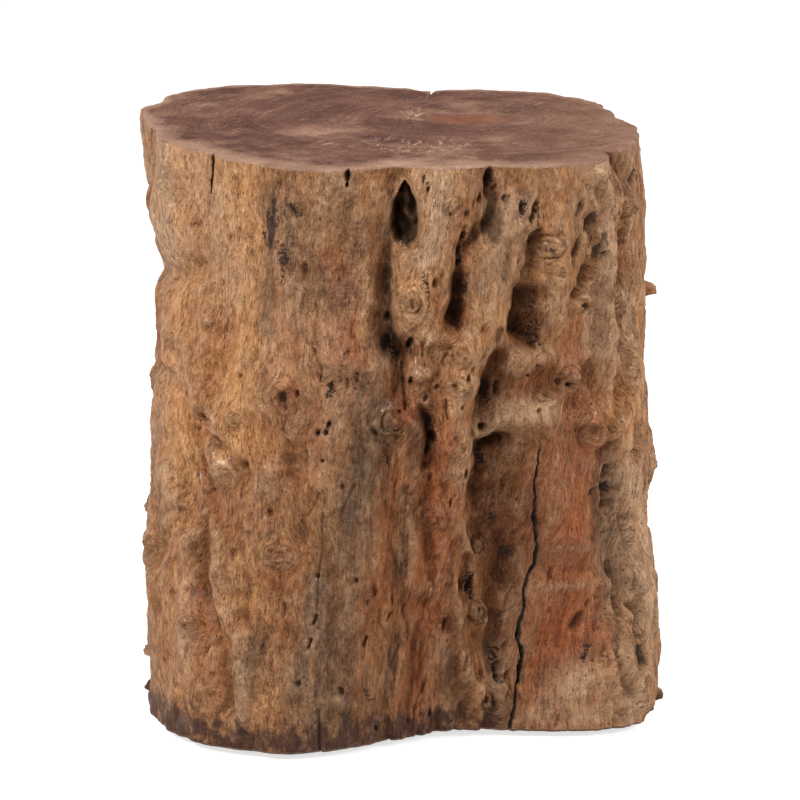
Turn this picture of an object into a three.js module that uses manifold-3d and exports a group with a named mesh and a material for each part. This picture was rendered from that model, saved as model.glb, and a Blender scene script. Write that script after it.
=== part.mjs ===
// A stool made from one block of tree trunk, stripped of its bark, with a flat sawn seat and a flat sawn foot.
//
// The block is lofted through seven plan outlines. Furrows, hollows and ridges that follow the grain are then
// pressed into that wall, and rounded gnarl is laid between them. The knots and broken twigs that grew out of
// it are added, and the rot hole and the radial checks that drying opened are cut out. Four glides, each held
// by one nail, keep the foot off the floor.
//
// Millimetres, +Z up. The front is -Y, +X is to its right, and the origin lies on the floor under the middle.

import * as THREE from 'three';
import { mergeVertices, toCreasedNormals } from 'three/addons/utils/BufferGeometryUtils.js';
import Module from 'manifold-3d';

const wasm = await Module();
wasm.setup();

// Sizes.
// Overall sizes of the stool.
const stoolWidth = 400; // left to right
const stoolDepth = 350; // front to back
const stoolHeight = 450; // floor to seat

// The worn edge round the sawn seat and foot.
const edgeWear = 1.8;

// Glides and their nails.
const glideDiameter = 30;
const glideThickness = 4.5;
const glideEdgeRound = 1;
const nailHeadDiameter = 9;
const nailHeadThickness = 1.2;
const nailHeadRecess = 1.3; // from the glide's running face up to the nail's head
const nailShankDiameter = 2.6;
const nailShankLength = 22;
const nailPointLength = 3;

// Clearances: between pieces that touch, and how far a cutting or added solid runs past the face it crosses.
const seatGap = 0.3;
const overrun = 6;

// Places of the four glides, degrees round the trunk, and how far out they stand as a share of the half width.
const glideAzimuths = [-52, 64, 132, -128];
const glideReachShare = 0.66;
const glideSides = 20;
const nailSides = 12;

// Mesh density of the lofted wall: columns round it and rows up it. Columns crowd towards the front by this
// many degrees, where the wall is most broken.
const columns = 97;
const rows = 42;
const columnCrowding = 18;
const middleWeight = 2; // of a cell's middle against each of its quarters

// The trunk's plan outlines.
// Radius of the wall as a share of the half width, every 22.5 degrees from the back (-180) past the left side
// (-90), the front (0) and the right side (90). The first row is the foot, the last row the seat.
const sectionShares = [
  [0.83, 0.89, 0.96, 0.98, 0.95, 1.02, 1.0, 0.86, 0.6, 0.55, 0.74, 1.01, 0.93, 0.92, 0.89, 0.84],
  [0.83, 0.9, 0.97, 0.98, 0.965, 1.03, 0.985, 0.88, 0.65, 0.61, 0.76, 1.02, 0.965, 0.92, 0.88, 0.84],
  [0.83, 0.9, 0.98, 0.98, 0.955, 1.01, 0.96, 0.89, 0.71, 0.69, 0.83, 0.99, 0.94, 0.91, 0.88, 0.85],
  [0.82, 0.91, 0.99, 0.98, 0.95, 0.98, 0.94, 0.9, 0.75, 0.8, 0.9, 0.98, 0.935, 0.9, 0.88, 0.86],
  [0.81, 0.93, 1.02, 0.98, 0.92, 0.95, 0.91, 0.9, 0.79, 0.84, 0.93, 0.96, 0.92, 0.89, 0.89, 0.85],
  [0.8, 0.95, 1.06, 1.02, 0.935, 0.925, 0.88, 0.89, 0.78, 0.83, 0.95, 0.95, 0.925, 0.88, 0.9, 0.84],
  [0.8, 0.96, 1.1, 1.07, 0.95, 0.915, 0.87, 0.88, 0.76, 0.79, 0.98, 0.935, 0.885, 0.87, 0.91, 0.83],
];
const sectionStep = 360 / sectionShares[0].length;
// How far the outlines reach from front to back, as a share of the half width times two.
const depthReachShare = 0.9;

// Relief that follows the grain.
// Each line runs through points of [degrees round the trunk, share of its height]. half is the half width of
// the dip and deep its depth, both as shares of the half width; a negative depth is a ridge or a swelling.
const reliefShares = [
  // The groove beside the broad left face, with a hollow opening off its foot.
  { half: 0.055, deep: 0.06, line: [[-1, 1], [-3, 0.92], [-5, 0.8], [-4, 0.73], [0, 0.64]] },
  { half: 0.03, deep: 0.02, line: [[-5, 0.88], [-5, 0.74]] },
  { half: 0.045, deep: 0.05, line: [[-2, 0.71], [2, 0.69]] },
  { half: 0.035, deep: -0.02, line: [[-8, 0.97], [-9, 0.8], [-8, 0.65]] },
  // Slanting grooves between the lobes of the right half, the middle one opening into a deep pocket.
  { half: 0.035, deep: 0.075, line: [[24, 1], [24, 0.91], [18, 0.86], [16, 0.81], [15, 0.74]] },
  { half: 0.03, deep: 0.03, line: [[30, 0.98], [29, 0.92]] },
  { half: 0.036, deep: 0.05, line: [[33, 0.9], [33, 0.82]] },
  { half: 0.056, deep: 0.12, line: [[32, 0.79], [32, 0.71]] },
  { half: 0.046, deep: 0.075, line: [[24, 0.69], [22, 0.57]] },
  { half: 0.03, deep: 0.05, line: [[6, 0.6], [8, 0.5]] },
  { half: 0.04, deep: 0.035, line: [[35, 0.66], [34, 0.62]] },
  { half: 0.03, deep: 0.03, line: [[51, 0.67], [45, 0.59]] },
  // The lobes between them, the last ending in a lip over the hollow panel.
  { half: 0.075, deep: -0.045, line: [[11, 0.97], [7, 0.88], [3, 0.82], [3, 0.74]] },
  { half: 0.05, deep: -0.02, line: [[19, 0.98], [21, 0.94]] },
  { half: 0.065, deep: -0.05, line: [[29, 0.94], [22, 0.86], [21, 0.78], [16, 0.68], [15, 0.61]] },
  { half: 0.075, deep: -0.035, line: [[39, 0.97], [39, 0.85], [41, 0.72]] },
  { half: 0.035, deep: -0.035, line: [[47, 0.98], [54, 0.92], [54, 0.76], [51, 0.67]] },
  { half: 0.05, deep: -0.05, line: [[16, 0.5], [19, 0.55], [28, 0.575], [38, 0.56]] },
  { half: 0.04, deep: -0.03, line: [[29, 0.66], [35, 0.7], [42, 0.65], [38, 0.6]] },
  { half: 0.04, deep: -0.035, line: [[-5, 0.57], [-1, 0.58]] },
  { half: 0.045, deep: -0.03, line: [[15, 0.58], [16, 0.42], [21, 0.33]] },
  { half: 0.04, deep: -0.03, line: [[23, 0.32], [18, 0.24], [20, 0.15], [28, 0.08]] },
  { half: 0.06, deep: -0.022, line: [[4, 0.47], [3, 0.3], [-3, 0.03]] },
  { half: 0.045, deep: 0.022, line: [[8, 0.45], [7, 0.3], [2, 0.09]] },
  { half: 0.05, deep: -0.02, line: [[11, 0.42], [12, 0.28], [9, 0.06]] },
  { half: 0.05, deep: -0.02, line: [[-8, 0.55], [-9, 0.4], [-16, 0.09]] },
  // The hollow panel under the lip, its pits, and the bay where it meets the foot.
  { half: 0.11, deep: 0.08, line: [[26, 0.48], [30, 0.34]] },
  { half: 0.09, deep: 0.05, line: [[31, 0.32], [32, 0.17]] },
  { half: 0.04, deep: 0.07, line: [[21, 0.52], [28, 0.53]] },
  { half: 0.04, deep: 0.045, line: [[23, 0.47], [24, 0.39]] },
  { half: 0.045, deep: 0.04, line: [[34, 0.34], [35, 0.29]] },
  { half: 0.035, deep: 0.06, line: [[21, 0.32], [22, 0.26]] },
  { half: 0.04, deep: 0.04, line: [[33, 0.22], [35, 0.12]] },
  { half: 0.05, deep: 0.02, line: [[25, 0.24], [28, 0.17]] },
  { half: 0.045, deep: 0.05, line: [[34, 0.06], [33, -0.02]] },
  // Folds down the right-hand side.
  { half: 0.05, deep: 0.075, line: [[59, 1.02], [63, 0.93]] },
  { half: 0.03, deep: 0.035, line: [[59, 0.88], [60, 0.66]] },
  { half: 0.035, deep: -0.03, line: [[73, 0.63], [60, 0.53], [52, 0.51]] },
  { half: 0.028, deep: 0.035, line: [[53, 0.5], [56, 0.39]] },
  { half: 0.034, deep: 0.025, line: [[58, 0.37], [59, 0.22]] },
  { half: 0.028, deep: 0.03, line: [[61, 0.28], [64, 0.2], [63, 0.14]] },
  { half: 0.04, deep: -0.03, line: [[64, 0.43], [66, 0.36], [64, 0.3], [66, 0.2], [66, 0.04]] },
  { half: 0.03, deep: 0.02, line: [[53, 0.31], [57, 0.13]] },
  { half: 0.05, deep: -0.02, line: [[42, 0.48], [43, 0.39]] },
  { half: 0.09, deep: -0.02, line: [[86, 1], [84, 0.88]] },
  { half: 0.08, deep: -0.022, line: [[92, 0], [80, 0.05], [84, 0.12]] },
  // The waist, the folds and the shallow hollows of the left half.
  { half: 0.055, deep: 0.045, line: [[-96, 0.77], [-70, 0.78], [-57, 0.8]] },
  { half: 0.09, deep: -0.022, line: [[-90, 0.9], [-76, 0.86], [-64, 0.89]] },
  { half: 0.06, deep: -0.02, line: [[-110, 1], [-108, 0.9]] },
  { half: 0.034, deep: 0.04, line: [[-80, 0.62], [-66, 0.59], [-55, 0.51], [-47, 0.41]] },
  { half: 0.06, deep: -0.03, line: [[-62, 0.68], [-52, 0.59], [-43, 0.48]] },
  { half: 0.07, deep: -0.03, line: [[-63, 0.45], [-58, 0.36]] },
  { half: 0.036, deep: 0.045, line: [[-50, 0.37], [-49, 0.27], [-43, 0.18], [-41, 0.08]] },
  { half: 0.045, deep: -0.03, line: [[-45, 0.36], [-44, 0.26], [-37, 0.12], [-37, 0.05]] },
  { half: 0.05, deep: -0.02, line: [[-54, 0.31], [-50, 0.1]] },
  { half: 0.05, deep: 0.03, line: [[-68, 0.31], [-64, 0.33]] },
  { half: 0.07, deep: -0.025, line: [[-72, 0], [-66, 0.02]] },
  { half: 0.036, deep: 0.035, line: [[-53, 0.55], [-51, 0.54]] },
  { half: 0.03, deep: 0.03, line: [[-47, 0.53], [-44, 0.51]] },
  { half: 0.034, deep: 0.03, line: [[-40, 0.49], [-38, 0.48]] },
  { half: 0.055, deep: 0.035, line: [[-27, 0.53], [-27, 0.49]] },
  { half: 0.05, deep: 0.03, line: [[-60, 0.39], [-58, 0.37]] },
  { half: 0.05, deep: 0.028, line: [[-40, 0.26], [-39, 0.23]] },
  { half: 0.06, deep: -0.02, line: [[-33, 0.49], [-32, 0.34]] },
  { half: 0.05, deep: 0.02, line: [[-23, 0.45], [-26, 0.2]] },
  { half: 0.05, deep: -0.016, line: [[-40, 0.77], [-38, 0.66], [-40, 0.57]] },
  { half: 0.05, deep: 0.016, line: [[-48, 0.78], [-45, 0.68], [-48, 0.61]] },
  // Pits where small shoots rotted out, and the notch in the front of the rim.
  { half: 0.02, deep: 0.05, line: [[35, 0.94], [34, 0.91]] },
  { half: 0.02, deep: 0.05, line: [[47, 0.92], [48, 0.87]] },
  { half: 0.02, deep: 0.05, line: [[52, 0.87], [53, 0.82]] },
  { half: 0.02, deep: 0.05, line: [[-14, 1.01], [-14, 0.97]] },
  // Flutes and lobes round the sides and the back.
  { half: 0.045, deep: 0.04, line: [[84, 0.95], [80, 0.75], [82, 0.5], [78, 0.34]] },
  { half: 0.05, deep: 0.04, line: [[97, 0.9], [100, 0.6], [95, 0.3], [98, 0]] },
  { half: 0.05, deep: 0.04, line: [[110, 0.95], [114, 0.78]] },
  { half: 0.09, deep: 0.055, line: [[120, 0.75], [124, 0.35], [120, 0]] },
  { half: 0.1, deep: -0.04, line: [[132, 0.3], [134, 0]] },
  { half: 0.1, deep: 0.06, line: [[148, 0.9], [144, 0.5], [150, 0.1]] },
  { half: 0.06, deep: -0.03, line: [[158, 0.8], [152, 0.6], [158, 0.4]] },
  { half: 0.08, deep: 0.08, line: [[172, 1.02], [170, 0.8], [165, 0.6]] },
  { half: 0.09, deep: 0.07, line: [[-165, 0], [-160, 0.4], [-168, 0.8]] },
  { half: 0.05, deep: 0.04, line: [[-150, 0.95], [-146, 0.8]] },
  { half: 0.12, deep: -0.05, line: [[-142, 0.75], [-136, 0.55], [-140, 0.2]] },
  { half: 0.05, deep: -0.03, line: [[-128, 0.3], [-126, 0.1]] },
  { half: 0.09, deep: 0.06, line: [[-118, 0.62], [-113, 0.3], [-118, 0]] },
  { half: 0.05, deep: 0.035, line: [[-100, 0.95], [-104, 0.8], [-100, 0.66]] },
];
// A dip's section is part bell, and the rest of it a wider bell with a soft skirt.
const bellShare = 0.65;
const skirtPower = 1.6;
// What keeps a line from looking ruled. Noise, in so many cells round and up the trunk, bends each line
// sideways by degrees and upwards by a share of the height, and varies its depth by a share of it.
const wanderShares = {
  sideways: [{ cells: [34, 13], seed: 13, sway: 0.9 }, { cells: [90, 34], seed: 14, sway: 0.5 }],
  upwards: { cells: [40, 18], seed: 15, sway: 0.004 },
  depth: { cells: [34, 14], seed: 16, sway: 0.35 },
};

// The gnarl between the named forms: folded noise whose cells lean to one side across the front right. It rises
// by this share of the half width over its middle level, and dies out within rimFade of the seat.
const gnarlShares = { cells: [37, 11], seed: 21, rise: 0.03, level: 0.25, rimFade: 0.05, rimPower: 0.7 };
const leanShares = { most: 0.2, at: 12, reach: 26 };
// Where the wall grew calm: the middle of the place, how far it reaches round and up, and how calm it is.
const calmShares = [
  { at: [-56, 0.5], reach: [46, 9], calm: 0.62 },
  { at: [-21, 0.5], reach: [17, 9], calm: 0.6 },
  { at: [42, 0.25], reach: [11, 0.24], calm: 0.75 },
  { at: [84, 0.5], reach: [16, 9], calm: 0.45 },
];
// Plain numbers that scatter the noise's direction from cell to cell, its gain, and its cells below the foot.
const scatter = { column: 12.9898, row: 78.233, seed: 37.719, spread: 43758.5453 };
const noiseGain = 1.6;
const noiseMargin = 3;

// Slow flutes that run up the whole wall: how many there are round the trunk, their rise as a share of the
// half width, and how far and how often they sway on their way up.
const fluteShares = [
  { count: 7, rise: 0.009, sway: 0.9, turns: 0.8, start: 0.4 },
  { count: 13, rise: 0.008, sway: 1.3, turns: 1.3, start: 1.7 },
  { count: 23, rise: 0.006, sway: 1.8, turns: 1.9, start: 2.6 },
  { count: 37, rise: 0.004, sway: 2.2, turns: 2.4, start: 0.9 },
];

// Knots: a swelling of the wall, and on it a boss with a growth-ring groove round a sunken heart. Radius and
// rise are shares of the half width, at [degrees round the trunk, share of its height]; a plain one is only
// the swelling.
const knotShares = [
  { at: [50, 0.54], radius: 0.062, rise: 0.03 },
  { at: [5, 0.78], radius: 0.07, rise: 0.03 },
  { at: [-3, 0.565], radius: 0.055, rise: 0.035 },
  { at: [25, 0.345], radius: 0.04, rise: 0.03 },
  { at: [26, 0.23], radius: 0.05, rise: 0.03 },
  { at: [32, 0.07], radius: 0.05, rise: 0.03 },
  { at: [70, 0.9], radius: 0.06, rise: 0.035 },
  { at: [38, 0.87], radius: 0.05, rise: 0.03 },
  { at: [46, 0.77], radius: 0.036, rise: 0.04 },
  { at: [45, 0.65], radius: 0.045, rise: 0.025 },
  { at: [-29, 0.625], radius: 0.05, rise: 0.015 },
  { at: [14, 0.635], radius: 0.05, rise: 0.035, plain: true },
  { at: [-28, 0.35], radius: 0.06, rise: 0.02, plain: true },
  { at: [-72, 0.3], radius: 0.07, rise: 0.02, plain: true },
  { at: [75, 0.47], radius: 0.05, rise: 0.04, plain: true },
  { at: [162, 0.35], radius: 0.09, rise: 0.04, plain: true },
  { at: [-140, 0.7], radius: 0.07, rise: 0.04 },
  { at: [112, 0.72], radius: 0.08, rise: 0.035, plain: true },
  { at: [-104, 0.3], radius: 0.08, rise: 0.035, plain: true },
];
// The swelling's reach and rise against the boss's, and the boss's section from its rim to its heart, as
// shares of its radius and of its rise.
const swellReachShare = 1.5;
const swellRiseShare = 0.8;
const knotSectionShares = [[1, -0.4], [0.8, 0.3], [0.58, 0.55], [0.46, 0.3], [0.34, 0.5], [0.14, -0.2], [0, -0.4]];
const knotSides = 10;

// Broken twigs, standing out of the wall: radius and length as shares of the half width, rise in degrees.
const twigShares = [
  { at: [99, 0.71], radius: 0.019, length: 0.055, rise: 5 },
  { at: [-98, 0.115], radius: 0.03, length: 0.035, rise: -30 },
  { at: [-98, 0.05], radius: 0.028, length: 0.035, rise: -25 },
  { at: [67, 0.07], radius: 0.022, length: 0.025, rise: 10 },
];
const twigTipShare = 0.6; // the broken end against the root
const twigSides = 8;

// The rot hole by the centre groove: a drop with its point up, as shares of the half width.
const rotHole = { at: [2, 0.92], halfWidthShare: 0.053, heightShare: 0.23, deepShare: 0.2 };
const dropSectionShares = [[0, -1], [0.5, -0.93], [0.85, -0.7], [1, -0.35], [0.95, 0.1], [0.75, 0.48], [0.4, 0.8], [0, 1]];
const dropSides = 16;

// Checks: splits that drying opened towards the heart. Each station is [degrees, share of the height, width,
// depth], the last two as shares of the half width.
const checkShares = [
  // The long one, which wanders down from under the lip and runs out through the foot.
  [[38, 0.57, 0.003, 0.02], [38, 0.5, 0.005, 0.1], [39, 0.43, 0.007, 0.13], [39.5, 0.36, 0.005, 0.14],
    [40, 0.33, 0.007, 0.14], [39.5, 0.28, 0.009, 0.14], [39.5, 0.23, 0.005, 0.14], [39, 0.2, 0.01, 0.15],
    [39.5, 0.155, 0.017, 0.16], [39.5, 0.11, 0.015, 0.16], [38.5, 0.06, 0.007, 0.15], [38, -0.02, 0.009, 0.15]],
  // The short ones that open the seat's rim at the back, the left and the right.
  [[171, 0.86, 0.003, 0.03], [171, 0.93, 0.014, 0.11], [170, 1.02, 0.024, 0.13]],
  [[-54, 0.93, 0.003, 0.02], [-54, 0.97, 0.008, 0.03], [-54, 1.02, 0.01, 0.035]],
  [[53, 0.95, 0.003, 0.03], [51, 1.02, 0.009, 0.12]],
  [[86, 0.97, 0.004, 0.03], [85, 1.02, 0.014, 0.07]],
];
const checkRootShare = 0.25; // width at a check's bottom against its mouth

// What follows from the sizes.
const halfWidth = stoolWidth / 2;
const halfDepth = stoolDepth / 2 / depthReachShare;
const footHeight = glideThickness + seatGap;
const trunkHeight = stoolHeight - footHeight;
const radians = Math.PI / 180;
const heightPerHalfWidth = trunkHeight / halfWidth;
// The wall's middle radius, for distances measured round it.
const girthShare = 0.88;

/** Point of the plan at an azimuth, a share of the half width out from the middle. */
function planPoint(azimuth, share, z) {
  const turn = azimuth * radians;
  return new THREE.Vector3(Math.sin(turn) * share * halfWidth, -Math.cos(turn) * share * halfDepth, z);
}

/** Height above the floor of a share of the trunk's height. */
function heightAt(share) {
  return footHeight + share * trunkHeight;
}

/** Catmull-Rom value between b and c. */
function spline(a, b, c, d, t) {
  return 0.5 * (2 * b + (c - a) * t + (2 * a - 5 * b + 4 * c - d) * t * t + (3 * b - a - 3 * c + d) * t ** 3);
}

/** Smooth loft through the plan outlines. */
function loftShare(azimuth, height) {
  const count = sectionShares[0].length;
  const last = sectionShares.length - 1;
  const across = (((azimuth + 180) % 360) + 360) % 360 / sectionStep;
  const up = Math.min(Math.max(height, 0), 1) * last;
  const column = Math.floor(across);
  const row = Math.min(Math.floor(up), last - 1);
  const around = [-1, 0, 1, 2].map((step) => {
    const outline = sectionShares[Math.min(Math.max(row + step, 0), last)];
    const value = (offset) => outline[(column + offset + count) % count];
    return spline(value(-1), value(0), value(1), value(2), across - column);
  });
  return spline(...around, up - row);
}

/** Distance, as a share of the half width, from a place on the wall to a line of places. */
function distanceShare(azimuth, height, line) {
  let nearest = Infinity;
  const flat = ([a, h]) => {
    const turn = ((((a - azimuth) % 360) + 540) % 360) - 180;
    return [turn * radians * girthShare, (h - height) * heightPerHalfWidth];
  };
  for (let i = 1; i < line.length; i += 1) {
    const [ax, ay] = flat(line[i - 1]);
    const [bx, by] = flat(line[i]);
    const dx = bx - ax;
    const dy = by - ay;
    const length = dx * dx + dy * dy;
    const along = length > 0 ? Math.min(Math.max(-(ax * dx + ay * dy) / length, 0), 1) : 0;
    nearest = Math.min(nearest, Math.hypot(ax + dx * along, ay + dy * along));
  }
  return nearest;
}

/** Smooth noise from about -1 to 1, closed round the trunk, at an azimuth and a share of the height. */
function noise(azimuth, height, { cells: [across, up], seed }) {
  const turn = azimuth / 360;
  const u = (turn - Math.floor(turn)) * across;
  const v = Math.min(Math.max(height * up + noiseMargin, 0), up + 2 * noiseMargin);
  const column = Math.floor(u);
  const row = Math.floor(v);
  const smooth = (t) => t ** 3 * (t * (t * 6 - 15) + 10);
  let total = 0;
  for (const i of [0, 1]) {
    for (const j of [0, 1]) {
      const cell = ((column + i) % across) * scatter.column + (row + j) * scatter.row + seed * scatter.seed;
      const mixed = Math.sin(cell) * scatter.spread;
      const way = 2 * Math.PI * (mixed - Math.floor(mixed));
      const [x, y] = [u - column - i, v - row - j];
      total += smooth(1 - Math.abs(x)) * smooth(1 - Math.abs(y)) * (Math.cos(way) * x + Math.sin(way) * y);
    }
  }
  return total * noiseGain;
}

/** What the named dips and ridges take off the wall at a place, as a share of the half width. */
function reliefShare(azimuth, height) {
  const { sideways, upwards, depth } = wanderShares;
  const bentAzimuth = sideways.reduce((sum, part) => sum + part.sway * noise(azimuth, height, part), azimuth);
  const bentHeight = height + upwards.sway * noise(azimuth, height, upwards);
  const uneven = 1 + depth.sway * noise(azimuth, height, depth);
  let taken = 0;
  for (const { half, deep, line } of reliefShares) {
    const reach = distanceShare(bentAzimuth, bentHeight, line) / half;
    const skirt = (1 + reach ** 2) ** -skirtPower;
    taken += deep * uneven * (bellShare * Math.exp(-(reach ** 2)) + (1 - bellShare) * skirt);
  }
  return taken;
}

/** How far the gnarl stands out at a place, as a share of the half width. */
function gnarlShare(azimuth, height) {
  const { rise, level, rimFade, rimPower } = gnarlShares;
  const calm = calmShares.map(({ at, reach, calm: most }) => most
    * Math.exp(-(((azimuth - at[0]) / reach[0]) ** 4) - ((height - at[1]) / reach[1]) ** 4));
  const lean = leanShares.most * Math.exp(-(((azimuth - leanShares.at) / leanShares.reach) ** 2));
  const leant = azimuth + lean * (height - 0.5) * heightPerHalfWidth / girthShare / radians;
  const fade = Math.min(Math.max((1 - height) / rimFade, 0), 1) ** rimPower;
  const folded = Math.abs(noise(leant, height, gnarlShares));
  return (1 - Math.max(...calm)) * fade * rise * (folded - level);
}

/** Radius of the finished wall as a share of the half width. */
function wallShare(azimuth, height) {
  let share = loftShare(azimuth, height) - reliefShare(azimuth, height) + gnarlShare(azimuth, height);
  for (const { count, rise, sway, turns, start } of fluteShares) {
    const swing = sway * Math.sin(2 * Math.PI * turns * height + start);
    share += rise * Math.sin(count * azimuth * radians + swing);
  }
  for (const { at, radius, rise } of knotShares) {
    const reach = distanceShare(azimuth, height, [at, at]) / (radius * swellReachShare);
    share += rise * swellRiseShare * Math.exp(-(reach ** 2));
  }
  return share;
}

/** The wall over one cell of its mesh: the mean of its middle and its quarters, so that no narrow dip makes a
 * spike. The steps are the cell's size, in degrees and in shares of the height. */
function cellShare(azimuth, height, azimuthStep, heightStep) {
  let sum = wallShare(azimuth, height) * middleWeight;
  for (const side of [-0.25, 0.25]) {
    for (const rise of [-0.25, 0.25]) sum += wallShare(azimuth + side * azimuthStep, height + rise * heightStep);
  }
  return sum / (middleWeight + 4);
}

/** Point on the wall. */
function wallPoint(azimuth, height) {
  return planPoint(azimuth, wallShare(azimuth, height), heightAt(height));
}

/** A frame on the wall: its point, the way out, and the level way along it. */
function wallFrame(azimuth, height) {
  const point = wallPoint(azimuth, height);
  const out = planPoint(azimuth, 1, 0).normalize();
  const along = new THREE.Vector3(-out.y, out.x, 0);
  return { point, out, along };
}

// Solids.
/** Closed geometry from rings of points, closed at both ends by a point in the ring's middle. Each cell is
 * split along its shorter diagonal. */
function ringSolid(rings) {
  const count = rings[0].length;
  const positions = [];
  const index = [];
  for (const ring of rings) for (const p of ring) positions.push(p.x, p.y, p.z);
  for (let j = 0; j + 1 < rings.length; j += 1) {
    for (let i = 0; i < count; i += 1) {
      const a = j * count + i;
      const b = j * count + ((i + 1) % count);
      const rising = rings[j][i].distanceTo(rings[j + 1][(i + 1) % count]);
      const falling = rings[j][(i + 1) % count].distanceTo(rings[j + 1][i]);
      if (rising < falling) index.push(a, b, b + count, a, b + count, a + count);
      else index.push(a, b, a + count, b, b + count, a + count);
    }
  }
  for (const [ring, start, flip] of [[rings[0], 0, true], [rings.at(-1), (rings.length - 1) * count, false]]) {
    const middle = ring.reduce((sum, p) => sum.add(p), new THREE.Vector3()).divideScalar(count);
    const centre = positions.length / 3;
    positions.push(middle.x, middle.y, middle.z);
    for (let i = 0; i < count; i += 1) {
      const a = start + i;
      const b = start + ((i + 1) % count);
      index.push(centre, flip ? b : a, flip ? a : b);
    }
  }
  const geometry = new THREE.BufferGeometry();
  geometry.setAttribute('position', new THREE.Float32BufferAttribute(positions, 3));
  geometry.setIndex(index);
  return geometry;
}

/** A closed geometry as a manifold solid. */
function toSolid(geometry) {
  const bare = geometry.clone();
  bare.deleteAttribute('normal');
  bare.deleteAttribute('uv');
  const merged = mergeVertices(bare);
  return new wasm.Manifold(new wasm.Mesh({
    numProp: 3,
    vertProperties: new Float32Array(merged.attributes.position.array),
    triVerts: new Uint32Array(merged.index.array),
  }));
}

/** A manifold solid as a geometry with its hard edges kept. */
function toGeometry(solid) {
  const mesh = solid.getMesh();
  const geometry = new THREE.BufferGeometry();
  geometry.setAttribute('position', new THREE.BufferAttribute(new Float32Array(mesh.vertProperties), 3));
  geometry.setIndex(new THREE.BufferAttribute(new Uint32Array(mesh.triVerts), 1));
  return toCreasedNormals(geometry, Math.PI / 3);
}

/** The lofted wall between the sawn seat and foot, its edges worn. */
function wallGeometry() {
  const azimuthAt = (i) => -180 + (360 * i) / columns + columnCrowding * Math.sin((2 * Math.PI * i) / columns);
  const ring = (height, inset, z) => Array.from({ length: columns }, (_, i) => {
    const step = azimuthAt(i + 1) - azimuthAt(i);
    return planPoint(azimuthAt(i), cellShare(azimuthAt(i), height, step, 1 / rows) - inset / halfWidth, z);
  });
  const rings = [ring(0, edgeWear, heightAt(0)), ring(0, 0, heightAt(0) + edgeWear)];
  for (let j = 1; j < rows; j += 1) rings.push(ring(j / rows, 0, heightAt(j / rows)));
  rings.push(ring(1, 0, heightAt(1) - edgeWear), ring(1, edgeWear, heightAt(1)));
  return ringSolid(rings);
}

/** A turned solid about +Z from [radius, height] pairs that start and end on the axis or close on themselves. */
function turned(profile, sides) {
  const points = profile.map(([radius, height]) => new THREE.Vector2(radius, height));
  return new THREE.LatheGeometry(points, sides).rotateX(Math.PI / 2);
}

/** Knot boss, its axis along the way out of the wall. */
function knotGeometry({ at, radius, rise }) {
  const { point, out } = wallFrame(...at);
  const profile = [[0, -overrun], [radius * halfWidth, -overrun]];
  for (const [r, h] of knotSectionShares) profile.push([r * radius * halfWidth, h * rise * halfWidth]);
  const turn = new THREE.Quaternion().setFromUnitVectors(new THREE.Vector3(0, 0, 1), out);
  return turned(profile, knotSides).applyQuaternion(turn).translate(point.x, point.y, point.z);
}

/** Broken twig, rooted in the wall. */
function twigGeometry({ at, radius, length, rise }) {
  const { point, out } = wallFrame(...at);
  const way = out.clone().multiplyScalar(Math.cos(rise * radians)).setZ(Math.sin(rise * radians));
  const root = radius * halfWidth;
  const profile = [[0, -overrun], [root, -overrun], [root * twigTipShare, length * halfWidth]];
  profile.push([0, length * halfWidth]);
  const turn = new THREE.Quaternion().setFromUnitVectors(new THREE.Vector3(0, 0, 1), way);
  return turned(profile, twigSides).applyQuaternion(turn).translate(point.x, point.y, point.z);
}

/** Drop-shaped hole, deepest where it is widest. */
function rotHoleGeometry() {
  const { halfWidthShare, heightShare, deepShare, at } = rotHole;
  const { point, out } = wallFrame(...at);
  const drop = turned(dropSectionShares, dropSides);
  drop.scale(halfWidthShare * halfWidth, deepShare * halfWidth, (heightShare / 2) * halfWidth);
  drop.rotateZ(Math.atan2(-out.x, -out.y) + Math.PI);
  return drop.translate(point.x, point.y, point.z);
}

/** Wedge-shaped blade along a check, wide at the wall and thin at its root. */
function checkGeometry(stations) {
  const rings = stations.map(([azimuth, height, width, depth]) => {
    const { point, out, along } = wallFrame(azimuth, height);
    const place = (side, reach) => point.clone()
      .addScaledVector(along, side * width * halfWidth / 2)
      .addScaledVector(out, reach);
    const root = -depth * halfWidth;
    return [place(-1, overrun), place(-checkRootShare, root), place(checkRootShare, root), place(1, overrun)];
  });
  const upwards = stations.at(-1)[1] > stations[0][1];
  return ringSolid(upwards ? rings.map((ring) => ring.reverse()) : rings);
}

/** Where a glide stands on the foot. */
function glidePlace(azimuth) {
  return planPoint(azimuth, glideReachShare, 0);
}

/** Nail's pilot hole in the foot, clear of the shank all round and at its point. */
function pilotGeometry(azimuth) {
  const place = glidePlace(azimuth);
  const top = nailHeadRecess + nailHeadThickness + nailShankLength + seatGap;
  const radius = nailShankDiameter / 2 + seatGap;
  const profile = [[0, footHeight - overrun], [radius, footHeight - overrun], [radius, top], [0, top]];
  return turned(profile, nailSides).translate(place.x, place.y, 0);
}

let trunkSolid = toSolid(wallGeometry());
for (const knot of knotShares) {
  if (!knot.plain) trunkSolid = trunkSolid.add(toSolid(knotGeometry(knot)));
}
for (const twig of twigShares) trunkSolid = trunkSolid.add(toSolid(twigGeometry(twig)));
trunkSolid = trunkSolid.subtract(toSolid(rotHoleGeometry()));
for (const stations of checkShares) trunkSolid = trunkSolid.subtract(toSolid(checkGeometry(stations)));
for (const azimuth of glideAzimuths) trunkSolid = trunkSolid.subtract(toSolid(pilotGeometry(azimuth)));

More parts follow.
